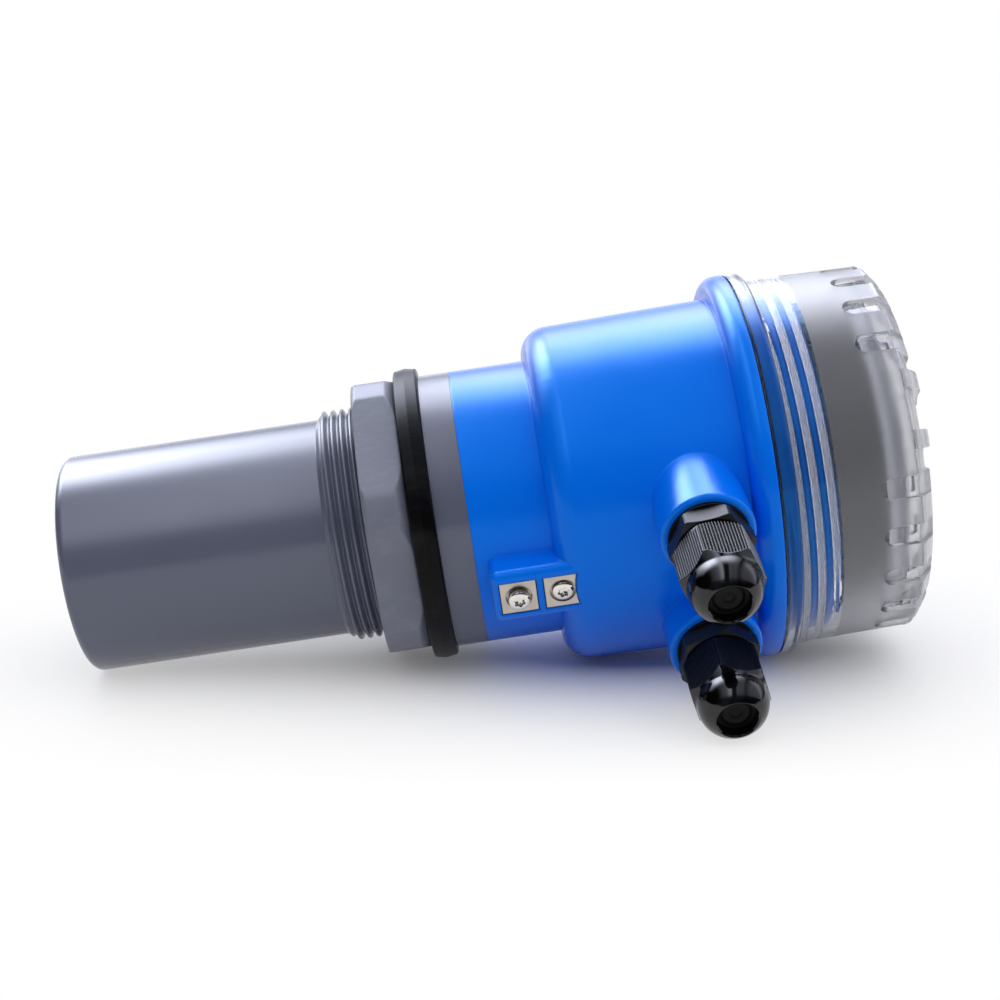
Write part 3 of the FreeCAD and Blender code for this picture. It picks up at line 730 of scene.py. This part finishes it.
class Finishes:
    """Every finish of the sensor."""

    # Extruded and turned grey PVC: even, glossy, a little cold in the highlights.
    grey_pvc = Moulded(
        "grey_pvc_turned", "#585C6E", roughness=0.2, edge=0.3, grain=Grain.POLISHED,
        grain_size=1.2, grain_height=0.004, drift=0.03)
    # Moulded grey nylon: matte, with pale rubbed streaks from spanners.
    grey_nut = Moulded(
        "grey_nylon_moulded", "#6A6E7D", edge=0.9, scuffs=0.09, grain_height=0.01, drift=0.05)
    # Moulded blue PBT: saturated and satin, with highlights that stay a little blue.
    blue = Moulded(
        "blue_pbt_moulded", "#006AE6", roughness=0.23, edge=0.7, grain=Grain.SPARKED,
        grain_size=0.3, grain_height=0.003, drift=0.02, specular=0.6, specular_tint="#6CD0FF")
    # Moulded black nylon: deep black, satin on the flats.
    black_nylon = Moulded("black_nylon_satin", "#0E0E10", roughness=0.38, specular=0.3)
    # The same nylon where the mould is polished: sharp reflections on the dome.
    black_gloss = Moulded(
        "black_nylon_polished", "#050506", roughness=0.09, edge=0.12, grain=Grain.POLISHED,
        grain_size=0.8, grain_height=0.003)
    # Its ribbed grip, which the mould leaves satin.
    black_grip = Moulded(
        "black_nylon_grip", "#0A0A0B", roughness=0.36, edge=0.08, grain_height=0.004, specular=0.4)
    # Moulded neoprene: near black, with a low sheen and faint grey streaks.
    rubber = Moulded(
        "black_neoprene", "#060607", roughness=0.3, edge=0.3, scuffs=0.05, scuff_colour="#6A6A70",
        grain_size=0.6, grain_height=0.008, specular=0.1)
    # Moulded EPDM: dull black that shows no highlight.
    soft_rubber = Moulded(
        "black_epdm", "#070708", roughness=0.5, edge=0.15, grain_height=0.01, specular=0.15)
    # Nickel-plated brass, brushed: warm grey with hairlines.
    brushed_nickel = Metal(
        "nickel_plate_brushed", "#C4BCB2", roughness=0.34, brush=(1.0, 1.0, 0.05),
        brush_height=0.003, tarnish=0.45)
    # Polished nickel on the screw heads: bright, with small sharp reflections.
    polished_nickel = Metal(
        "nickel_polished", "#E2DED8", roughness=0.1, edge=0.12, brush_height=0.0008)
    # Turned brass: warm yellow with a soft shine.
    brass = Metal("brass_turned", "#B8965A", roughness=0.3)
    # Turned stainless steel: cool grey with a soft shine.
    steel = Metal("stainless_turned", "#B4B6B8", roughness=0.28)
    # Drawn aluminium cans: pale, even and round at the edges.
    aluminium = Metal("aluminium_can", "#C6C8CA", roughness=0.25, edge=0.5)
    # Moulded polycarbonate: clear skirt with a painted blue reflection, white threads, grey frosted
    # wall and crown.
    clear_lid = ClearLidPlastic("clear_polycarbonate", "#F2F3F9")
    # Cast acrylic: clear, with smears that show only in its reflections.
    window = ClearPane("clear_acrylic", "#F6F8F8", roughness=0.04)
    # Moulded dark grey ABS under the lid, glossy enough to show soft streaks along its flutes.
    dark_abs = Moulded("dark_grey_abs", "#222228", roughness=0.27, edge=0.4, grain_height=0.003)
    # Moulded green polyamide: matte.
    terminal_green = Moulded("terminal_polyamide", "#3E7F4C", roughness=0.45)
    # Pressed laminate: dark green with lighter tracks under a thin gloss.
    board = CircuitLaminate("circuit_laminate", "#1F5A38", roughness=0.35)
    # Pressed and fired ferrite: dull charcoal.
    ferrite = Moulded("sintered_ferrite", "#2A2A2C", roughness=0.6)
    # Display glass: smooth grey green.
    lcd = Moulded("lcd_glass", "#8C9C8A", roughness=0.12, grain=Grain.POLISHED, drift=0.02)
    # Moulded silicone: pale and matte, with round edges.
    key_rubber = Moulded("key_silicone", "#B9BEC6", roughness=0.5, edge=0.3)
    # Cast foam epoxy: cream and dull.
    epoxy_foam = Moulded("syntactic_epoxy", "#D8D2C0", roughness=0.6)
    # Fired silver on ceramic: warm pale grey.
    piezo = Moulded("silvered_ceramic", "#C2BEB4", roughness=0.35)
    # Poured polyurethane: dark brown and glossy.
    potting = Moulded("polyurethane_potting", "#23211F", roughness=0.3)
    # Extruded PVC jackets: red, half gloss.
    lead_jacket = Moulded("lead_jacket_pvc", "#A03A30")
    # Sprayed white lacquer: pale and matte, so that the sensor's shadow shows softly.
    table = TableLacquer("white_table_lacquer", "#F4F4F6", roughness=0.5)


def dress(piece: Object, finish: Finish) -> None:
    """Gives a piece one finish in every slot it has.

    Args:
        piece: The piece or the CAD node.
        finish: The finish.
    """
    if not piece.material_slots:
        piece.data.materials.append(finish.material())
    for slot in piece.material_slots:
        slot.link = "OBJECT"
        slot.material = finish.material()


def dress_nodes(looks: dict[Finish, tuple[str, ...]]) -> None:
    """Dresses CAD nodes.

    Args:
        looks: The names of the nodes that have each finish.
    """
    for finish, nodes in looks.items():
        for node in nodes:
            dress(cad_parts[node], finish)


def mount(piece: Object, finish: Finish, body: str, node: str) -> None:
    """Dresses a shaped piece and makes it part of the model.

    Args:
        piece: The shaped piece.
        finish: Its finish.
        body: The body that it rides on.
        node: The node that it stands for.
    """
    dress(piece, finish)
    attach(piece, body)
    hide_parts(node)
    LOG.info("%s: %d faces, rides on %s", piece.name, len(piece.data.polygons), body)


# Sub-assemblies


@dataclass
class Transducer:
    """The grey sensor body with its process thread, and the parts sealed inside it."""

    crest: float = 29.8
    root: float = 28.35
    pitch: float = 2.309
    thread_start: float = 66.5
    thread_end: float = 92.7
    relief_radii: Pair = (29.4, 30.2)
    relief_end: float = 93.0
    sink: float = 0.3

    def build(self) -> None:
        """Builds the threaded body and dresses what is inside."""
        body = copied("transducer_shell", "transducer_body")
        narrow(
            body, self.relief_radii, self.root / self.crest,
            lambda place: place.z < self.relief_end * MM)
        smooth(body)
        ThreadRidge(
            root=self.root - self.sink, crest=self.crest, pitch=self.pitch,
            start=self.thread_start,
            turns=(self.thread_end - self.thread_start) / self.pitch - 0.1,
            foot_width=self.pitch * 0.96, crest_width=self.pitch * 0.22, rounding=0.16,
            run_out=0.3, steps_per_turn=72).add_to(body, "process_thread_ridge")
        mount(body, Finishes.grey_pvc, "housing", "transducer_shell")
        dress_nodes({
            Finishes.epoxy_foam: ("matching_layer", "backing_disc"),
            Finishes.piezo: ("piezo_disc",),
            Finishes.soft_rubber: ("piezo_sleeve",),
            Finishes.potting: ("transducer_potting",),
            Finishes.steel: ("temperature_probe",),
            Finishes.lead_jacket: ("transducer_leads",),
            Finishes.rubber: ("shell_seal", "process_gasket")})


@dataclass
class LockNut:
    """The grey hexagon lock nut."""

    edge: float = 0.8
    flat_angle: float = 1.0
    edge_angle: float = 28.0

    def build(self) -> None:
        """Softens the nut's edges as its mould does."""
        nut = copied("lock_nut", "hexagon_lock_nut")
        with editing(nut):
            bpy.ops.mesh.dissolve_limited(angle_limit=math.radians(self.flat_angle))
        modify(
            nut, "BEVEL", width=self.edge * MM, segments=3, limit_method="ANGLE",
            angle_limit=math.radians(self.edge_angle), use_clamp_overlap=True)
        smooth(nut, 35)
        mount(nut, Finishes.grey_nut, "lock_nut", "lock_nut")


@dataclass
class Housing:
    """The blue moulding with the male thread that carries the lid."""

    mouth: float = 43.9
    root: float = 42.6
    pitch: float = 3.75
    turns: float = 2.5
    relief_radii: Pair = (42.95, 43.95)
    relief_start: float = 173.15
    first_crest: float = 176.4
    seen_angle: float = -123.6
    sink: float = 0.2

    def build(self) -> None:
        """Builds the housing with its lid thread."""
        body = copied("main_housing", "housing_moulding")
        narrow(
            body, self.relief_radii, self.root / self.mouth,
            lambda place: place.z > self.relief_start * MM)
        smooth(body)
        ThreadRidge(
            root=self.root - self.sink, crest=self.mouth, pitch=self.pitch,
            start=self.first_crest, turns=self.turns, foot_width=2.5, crest_width=0.9,
            rounding=0.25, first_angle=self.seen_angle).add_to(body, "lid_thread_ridge")
        mount(body, Finishes.blue, "housing", "main_housing")


@dataclass
class CableGland:
    """One black cable gland: washer, hexagon body, ribbed dome nut and rubber bush."""

    side: str
    axis_x: float
    nut_angle: float
    height: float = 155.0
    nut_start: float = 58.6
    across_flats: float = 17.4
    rib_pitch: float = 0.72
    rib_depth: float = 0.5
    rib_share: float = 0.8
    ribs_per_flat: int = 14
    grip_run: float = 13.0
    grip_end: float = 12.4
    bush_front: float = 17.8
    dome: tuple[Pair, ...] = (
        (0, -1), (9.95, -1), (9.95, 10.6), (9.8, 10.9), (8.75, 12.4), (8.5, 13.0), (8.45, 13.4),
        (8.42, 14.3), (8.2, 15.6), (7.86, 16.6), (7.4, 17.5), (6.9, 18.25), (6.3, 18.9),
        (5.7, 19.4), (5.3, 19.75), (5.0, 19.9), (0, 19.9))
    rib_zone: tuple[Pair, ...] = (
        (0, -2), (12, -2), (12, 10.0), (9.8, 10.7), (8.75, 12.2), (8.3, 12.6), (0, 12.8))
    bush: tuple[Pair, ...] = (
        (0, -0.25), (0.6, -0.3), (1.3, -0.6), (1.7, -0.75), (2.4, -0.65), (2.9, -0.5),
        (3.2, -0.55), (3.5, -0.8), (4.1, -0.8), (4.7, -0.65), (5.0, -0.7), (5.3, -1.2),
        (5.3, -10.5), (2.7, -10.5), (2.7, -5.4), (0, -5.2))

    def build(self) -> None:
        """Builds the ribbed nut and the bush, and dresses the rest."""
        self.build_nut()
        self.build_bush()
        dress_nodes({
            Finishes.black_nylon: ("gland_body_" + self.side,),
            Finishes.soft_rubber: ("gland_washer_" + self.side,)})

    def to_axis(self, piece: Object, turn: float = 0.0) -> Object:
        """Lays a piece made along +Z from the nut's start along the gland's axis.

        Args:
            piece: The piece.
            turn: How far it is turned about its own axis first, in degrees.

        Returns:
            The piece.
        """
        lay = Matrix.Translation(metres(self.axis_x, -self.nut_start, self.height))
        lay @= Matrix.Rotation(math.pi / 2, 4, "X") @ Matrix.Rotation(math.radians(turn), 4, "Z")
        return settle(piece, lay)

    def groove_cutters(self, turn: float) -> Object:
        """Makes the row of square bars that cut one flat's grooves with a corner each.

        Args:
            turn: Which way the flat looks, in degrees about the gland's axis.

        Returns:
            The row, in its place.
        """
        rest()
        bpy.ops.mesh.primitive_cube_add(size=MM)
        row = bpy.context.object
        with editing(row):
            bpy.ops.transform.rotate(value=math.pi / 4, orient_axis="Z", center_override=(0, 0, 0))
            width = self.rib_pitch * self.rib_share / math.sqrt(2)
            depth = self.rib_depth * math.sqrt(2)
            bpy.ops.transform.resize(
                value=(depth, width, self.grip_run + 2), center_override=(0, 0, 0))
        modify(
            row, "ARRAY", count=self.ribs_per_flat, use_relative_offset=False,
            use_constant_offset=True, constant_offset_displace=metres(0, self.rib_pitch, 0))
        first = -self.rib_pitch * (self.ribs_per_flat - 1) / 2
        row.location = metres(self.across_flats / 2, first, self.grip_run / 2 - 1)
        return self.to_axis(settle(row), turn)

    def build_nut(self) -> None:
        """Cuts the grip grooves into the flats and turns the dome, where they end in arcs."""
        name = "dome_nut_" + self.side
        nut = copied(name, "gland_nut_" + self.side)
        rows = [self.groove_cutters(self.nut_angle + 30 + 60 * flat) for flat in range(6)]
        zone = self.to_axis(lathe("rib_zone", self.rib_zone))
        combine(nut, combine(joined(*rows), zone, Tooling.KEEP_COMMON), Tooling.CUT)
        dome = self.to_axis(lathe("dome_" + self.side, self.dome))
        combine(nut, dome, Tooling.KEEP_COMMON)
        smooth(nut, 28, weighted=False)
        mount(nut, Finishes.black_gloss, name, name)
        self.dress_grip(nut)

    def dress_grip(self, nut: Object) -> None:
        """Gives the ribbed flats their satin finish.

        Args:
            nut: The finished nut, with the gloss all over.
        """
        satin = Finishes.black_grip.material()
        nut.data.materials.append(satin)
        grip = len(nut.material_slots) - 1
        nut.material_slots[grip].link = "OBJECT"
        nut.material_slots[grip].material = satin
        seat = metres(self.axis_x, -self.nut_start, self.height)
        flat = (self.across_flats / 2 - self.rib_depth - 0.1) * MM
        for face in nut.data.polygons:
            place = face.center - seat
            out = math.hypot(place.x, place.z)
            if out > flat and -place.y < self.grip_end * MM and abs(face.normal.y) < 0.3:
                face.material_index = grip

    def build_bush(self) -> None:
        """Turns the rubber bush with its dished face and thin blind membrane."""
        name = "seal_bush_" + self.side
        profile = tuple((radius, self.bush_front + height) for radius, height in self.bush)
        bush = self.to_axis(lathe("gland_bush_" + self.side, profile, 64))
        smooth(bush, 40, weighted=False)
        mount(bush, Finishes.soft_rubber, name, name)


@dataclass
class EarthTerminals:
    """Two nickel plates with their cheese-head screws.

    Each screw has its plate's name, its height along the sensor, the place of its head's
    underside along Y, and how far it is turned, in degrees.
    """

    screws: tuple[tuple[str, float, float, float], ...] = (
        ("lower", 109.9, -42.0, 8.0), ("upper", 120.6, -40.6, 40.0))
    head: float = 2.6
    head_height: float = 2.0
    shank: float = 1.5
    shank_length: float = 4.4
    recess: float = 1.55
    lobe: float = 0.14

    def build(self) -> None:
        """Builds both screws and dresses the plates and inserts."""
        for name, station, seat, turn in self.screws:
            self.build_screw(name, metres(0, seat, station), turn)
            dress_nodes({Finishes.brushed_nickel: ("earth_plate_" + name,)})
        dress_nodes({Finishes.brass: ("earth_inserts",)})

    def build_screw(self, name: str, seat: Vector, turn: float) -> None:
        """Turns one screw and sinks its six-lobe recess.

        Args:
            name: Which plate it holds.
            seat: The middle of its head's underside.
            turn: How far it is turned, in degrees.
        """
        top, head, shank, end = self.head_height, self.head, self.shank, -self.shank_length
        screw = lathe("earth_screw_" + name, (
            (0, top + 0.16), (1.0, top + 0.13), (1.8, top - 0.02), (head - 0.25, top - 0.2),
            (head - 0.06, top - 0.4), (head, top - 0.7), (head, 0.15), (head - 0.15, 0),
            (shank, 0), (shank, end + 0.5), (shank - 0.5, end), (0, end)), 64)
        rest()
        bpy.ops.mesh.primitive_cylinder_add(
            vertices=48, radius=self.recess * MM, depth=2 * MM, location=metres(0, 0, top + 0.1))
        cutter = settle(bpy.context.object)
        for vertex in cutter.data.vertices:
            around = math.atan2(vertex.co.y, vertex.co.x)
            reach = 1 - self.lobe + self.lobe * math.cos(6 * around)
            vertex.co.x *= reach
            vertex.co.y *= reach
        combine(screw, cutter, Tooling.CUT)
        lay = Matrix.Translation(seat) @ Matrix.Rotation(math.pi / 2, 4, "X")
        settle(screw, lay @ Matrix.Rotation(math.radians(turn), 4, "Z"))
        smooth(screw)
        mount(screw, Finishes.polished_nickel, "housing", "earth_screws")


@dataclass
class Lid:
    """The clear screw lid with its inner thread, and its seal."""

    bore: float = 44.2
    crest: float = 43.0
    pitch: float = 3.75
    turns: float = 2.4
    first_crest: float = 178.3
    seen_angle: float = -123.6
    sink: float = 0.25
    rebate: float = 48.2
    rebate_top: float = 176.2
    seal_inner: float = 44.3
    seal_outer: float = 47.6
    seal_start: float = 173.2
    seal_end: float = 174.2
    seal_edge: float = 0.15
    crown_start: float = 206.2
    crown_top: float = 213.4
    crown_rim: float = 38.95
    rim_drop: float = 3.3
    corner_height: float = 5.2
    inner_corner: Triple = (36.2, 200.6, 8.0)
    dome_step: float = 6.0
    dome_shift: float = 0.7

    def build(self) -> None:
        """Unites the lid with its thread, so that light passes both as one body."""
        lid = copied("lid", "clear_screw_lid")
        land = lathe("lid_land", (
            (self.bore, self.seal_end), (self.rebate, self.seal_end),
            (self.rebate, self.rebate_top), (self.bore, self.rebate_top),
            (self.bore, self.seal_end)), 128)
        combine(lid, land, Tooling.UNITE)
        ridge = ThreadRidge(
            root=self.bore + self.sink, crest=self.crest, pitch=self.pitch,
            start=self.first_crest - self.pitch / 5, turns=self.turns, foot_width=2.3,
            crest_width=0.8, rounding=0.2, first_angle=self.seen_angle - 72)
        combine(lid, ridge.build("lid_inner_ridge"), Tooling.UNITE)
        self.dome_crown(lid)
        smooth(lid, 32)
        mount(lid, Finishes.clear_lid, "lid", "lid")
        self.build_seal()

    def dome_crown(self, lid: Object) -> None:
        """Domes the crown: its rim comes down as in the photograph, and its middle stays.

        Args:
            lid: The lid, with a flat crown.
        """
        flat = (self.crown_top - 0.02) * MM
        cuts = int(self.crown_rim / self.dome_step)
        with editing(lid):
            pick(lid, lambda p: p.z > flat and math.hypot(p.x, p.y) < (self.crown_rim + 0.1) * MM)
            bpy.ops.mesh.dissolve_faces()
            for normal in ((1, 0, 0), (0, 1, 0)):
                for cut in range(-cuts, cuts + 1):
                    pick(lid, lambda p: p.z > flat)
                    place = Vector(normal) * (cut * self.dome_step + self.dome_shift) * MM
                    bpy.ops.mesh.bisect(plane_co=place, plane_no=normal)
        middle, height, curve = self.inner_corner
        for vertex in lid.data.vertices:
            radius, rise = math.hypot(vertex.co.x, vertex.co.y) / MM, vertex.co.z / MM
            inside = math.hypot(radius - middle, rise - height) < curve + 0.2 or (
                radius < middle and rise < height + curve + 0.2)
            if rise > self.crown_start and not inside:
                share = min(1.0, (rise - self.crown_start) / self.corner_height)
                dome = min(1.0, radius / self.crown_rim) ** 2
                vertex.co.z -= self.rim_drop * share * dome * MM

    def build_seal(self) -> None:
        """Turns the flat black seal that shows as a thin line between flange and lid."""
        inner, outer, soft = self.seal_inner, self.seal_outer, self.seal_edge
        start, end = self.seal_start, self.seal_end
        seal = lathe("lid_seal_ring", (
            (inner, start), (outer - soft, start), (outer, start + soft), (outer, end - soft),
            (outer - soft, end), (inner, end), (inner, start)), 128)
        smooth(seal, 50, weighted=False)
        mount(seal, Finishes.soft_rubber, "lid_seal", "lid_seal")


class Electronics:
    """The parts in the drum and under the lid."""

    def build(self) -> None:
        """Dresses every part."""
        dress_nodes({
            Finishes.dark_abs: ("electronics_cup", "display_module"),
            Finishes.board: ("main_board", "display_board"),
            Finishes.steel: ("board_screws", "terminal_screws", "module_screws", "key_switches"),
            Finishes.ferrite: ("drive_transformer",),
            Finishes.aluminium: ("board_capacitors",),
            Finishes.terminal_green: ("wire_terminals",),
            Finishes.brass: ("display_posts",),
            Finishes.lcd: ("lcd_panel",),
            Finishes.window: ("display_window",),
            Finishes.key_rubber: tuple(f"display_key_{key}" for key in range(1, 5))})


# Table, light and camera


@dataclass(frozen=True)
class Softbox:
    """A lamp: its place to the right of, over and before the sensor, and its size, in metres."""

    name: str
    offset: Triple
    size: Pair
    radiance: float


@dataclass
class Studio:
    """A white table that the sensor lies on, three softboxes and the camera.

    The sensor mirrors two sets of boxes, one behind it and one before it. Each of mirrored is
    an angle in degrees, from behind over the top to the front, with both sets' radiance
    there. Each of across is a place from the far left, -1, to the far right, 1, with what
    both sets are multiplied by there.
    """

    place: Triple = (-258.12, -388.07, 106.86)
    right: Triple = (0.12063, -0.08550, 0.98901)
    up: Triple = (-0.82442, 0.54634, 0.14779)
    back: Triple = (-0.55297, -0.83319, -0.00458)
    lens: float = 64.85
    sensor_width: float = 36.0
    clip: Pair = (0.01, 20.0)
    table_up: Triple = (-0.94527, 0.30109, 0.12576)
    table_depth: float = 27.43
    table_width: float = 6.0
    target: Triple = (0.0, 0.0, 110.0)
    softboxes: tuple[Softbox, ...] = (
        Softbox("top_softbox", (0.05, 0.62, 0.16), (1.5, 1.1), 1.15),
        Softbox("back_softbox", (0.0, 0.42, -0.95), (2.2, 0.8), 1.2),
        Softbox("side_softbox", (0.8, 0.1, 0.12), (0.7, 0.7), 1.2))
    ambient: float = 0.29
    mirrored_radiance: float = 6.0
    mirrored_colour: str = "#E8EDFF"
    mirrored: tuple[Triple, ...] = (
        (0.0, 1.0, 0.0), (10.0, 0.6, 0.0), (17.0, 0.8, 0.0), (25.0, 1.9, 0.0), (34.0, 3.7, 0.0),
        (45.0, 5.6, 0.0), (60.0, 6.0, 0.0), (68.0, 4.6, 0.0), (78.0, 1.2, 2.4), (88.0, 0.05, 3.5),
        (130.0, 0.05, 3.2), (141.0, 0.05, 2.4), (150.0, 0.05, 0.4), (156.0, 0.05, 0.0),
        (180.0, 0.05, 0.0))
    across_gain: float = 3.3
    across: tuple[Triple, ...] = (
        (-0.9, 0.0, 0.0), (-0.75, 0.8, 0.0), (-0.58, 2.8, 0.2), (-0.38, 3.3, 0.4), (-0.25, 1.9, 1.1),
        (-0.17, 1.4, 1.2), (-0.1, 1.8, 0.0), (0.08, 1.8, 0.0), (0.15, 1.6, 0.4), (0.25, 1.2, 0.3),
        (0.42, 0.4, 0.3), (0.55, 0.0, 0.1), (0.72, 0.35, 0.3))

    def build(self) -> None:
        """Sets up the camera, table, lights and surroundings."""
        bpy.context.scene.view_settings.view_transform = "Standard"
        self.build_camera()
        self.build_table()
        self.build_world()
        for box in self.softboxes:
            self.hang(box)

    def build_camera(self) -> None:
        """Stands the camera at the photograph's viewing angle."""
        data = bpy.data.cameras.new("camera")
        data.lens = self.lens
        data.sensor_width = self.sensor_width
        data.clip_start, data.clip_end = self.clip
        camera = bpy.data.objects.new("camera", data)
        bpy.context.scene.collection.objects.link(camera)
        turn = Matrix((self.right, self.up, self.back)).transposed().to_4x4()
        camera.matrix_world = Matrix.Translation(metres(*self.place)) @ turn
        bpy.context.scene.camera = camera

    def axes(self) -> tuple[Vector, Vector, Vector]:
        """Gives the table's directions, as the camera sees them.

        Returns:
            To the right, up and forward.
        """
        up = Vector(self.table_up).normalized()
        forward = Vector(self.back)
        forward = (forward - up * forward.dot(up)).normalized()
        return up.cross(forward), up, forward

    def build_table(self) -> None:
        """Lays the table under the sensor, tilted as the sensor lies on it."""
        right, up, forward = self.axes()
        rest()
        bpy.ops.mesh.primitive_plane_add(size=self.table_width)
        table = bpy.context.object
        table.name = table.data.name = "table"
        centre = metres(*self.target)
        centre -= up * (centre.dot(up) + self.table_depth * MM)
        turn = Matrix((right, forward * -1, up)).transposed().to_4x4()
        table.matrix_world = Matrix.Translation(centre) @ turn
        dress(table, Finishes.table)

    def build_world(self) -> None:
        """White surroundings for what is seen, softboxes in the reflections, and a dim even light."""
        world = bpy.data.worlds.new("studio")
        bpy.context.scene.world = world
        world.use_nodes = True
        tree = world.node_tree
        tree.nodes.clear()
        right, up, forward = self.axes()
        way = add(tree, "TexCoord").outputs["Generated"]
        rise = add(tree, "VectorMath", {0: way, 1: up}, operation="DOT_PRODUCT")
        reach = add(tree, "VectorMath", {0: way, 1: -forward}, operation="DOT_PRODUCT")
        over = add(tree, "Math", {0: rise, 1: reach}, operation="ARCTAN2")
        share = add(tree, "Math", {0: over, 1: 1 / math.pi}, operation="MULTIPLY")
        boxes = self.two_levels(tree, share, [
            (angle / 180.0, behind / self.mirrored_radiance, before / self.mirrored_radiance)
            for angle, behind, before in self.mirrored])
        aside = add(tree, "VectorMath", {0: way, 1: right}, operation="DOT_PRODUCT")
        place = add(tree, "MapRange", {"Value": aside, "From Min": -1.0})
        widths = self.two_levels(tree, place, [
            ((side + 1) / 2, behind / self.across_gain, before / self.across_gain)
            for side, behind, before in self.across])
        behind = add(tree, "Math", {
            0: boxes.outputs["Red"], 1: widths.outputs["Red"]}, operation="MULTIPLY")
        both = add(tree, "Math", {
            0: boxes.outputs["Green"], 1: widths.outputs["Green"], 2: behind},
            operation="MULTIPLY_ADD")
        mirrored = add(tree, "Math", {
            0: both, 1: self.mirrored_radiance * self.across_gain}, operation="MULTIPLY")
        path = add(tree, "LightPath")
        glossy = path.outputs["Is Glossy Ray"]
        seen = seen_straight(tree, path)
        level = add(tree, "Mix", {0: glossy, 2: self.ambient, 3: mirrored})
        level = add(tree, "Mix", {0: seen, 2: level, 3: 1.0})
        unseen = add(tree, "Math", {0: glossy, 1: seen}, operation="SUBTRACT", use_clamp=True)
        colour = add(tree, "Mix", {
            0: unseen, 6: WHITE, 7: linear(self.mirrored_colour)}, data_type="RGBA")
        shell = add(tree, "Background", {"Color": colour, "Strength": level})
        add(tree, "OutputWorld", {"Surface": shell})

    def two_levels(self, tree: NodeTree, value: Node, stops: list[Triple]) -> Node:
        """Draws how bright the softboxes behind and in front are along one direction.

        Args:
            tree: The node tree.
            value: The place along the direction, from 0 to 1.
            stops: Places, each with the level behind and the level in front.

        Returns:
            A node whose Red is the level behind and whose Green is the level in front.
        """
        ramp = add(tree, "ValToRGB", {"Fac": value})
        marks = ramp.color_ramp.elements
        for stop in stops[1:-1]:
            marks.new(stop[0])
        for mark, (place, behind, before) in zip(marks, stops):
            mark.position = place
            mark.color = (behind, before, 0.0, 1.0)
        return add(tree, "SeparateColor", {"Color": ramp})

    def hang(self, box: Softbox) -> None:
        """Hangs a softbox that faces the sensor.

        Args:
            box: The softbox.
        """
        right, up, forward = self.axes()
        width, depth = box.size
        data = bpy.data.lights.new(box.name, "AREA")
        data.shape = "RECTANGLE"
        data.size, data.size_y = width, depth
        data.energy = box.radiance * math.pi * width * depth
        lamp = bpy.data.objects.new(box.name, data)
        bpy.context.scene.collection.objects.link(lamp)
        away = right * box.offset[0] + up * box.offset[1] + forward * box.offset[2]
        back = away.normalized()
        side = (right - back * right.dot(back)).normalized()
        turn = Matrix((side, back.cross(side), back)).transposed().to_4x4()
        lamp.matrix_world = Matrix.Translation(metres(*self.target) + away) @ turn
        lamp.visible_camera = lamp.visible_glossy = lamp.visible_transmission = False
        LOG.info("%s: %.1f W", box.name, data.energy)


def main() -> None:
    """Builds the studio and every sub-assembly, in order."""
    logging.basicConfig(level=logging.INFO, format="%(name)s %(message)s")
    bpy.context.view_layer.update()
    glands = CableGland("left", -16.6, 21.5), CableGland("right", 16.6, 11.0)
    for part in (
            Studio(), Transducer(), LockNut(), Housing(), *glands, EarthTerminals(), Lid(),
            Electronics()):
        part.build()
    rest()


if __name__ == "__main__":
    main()
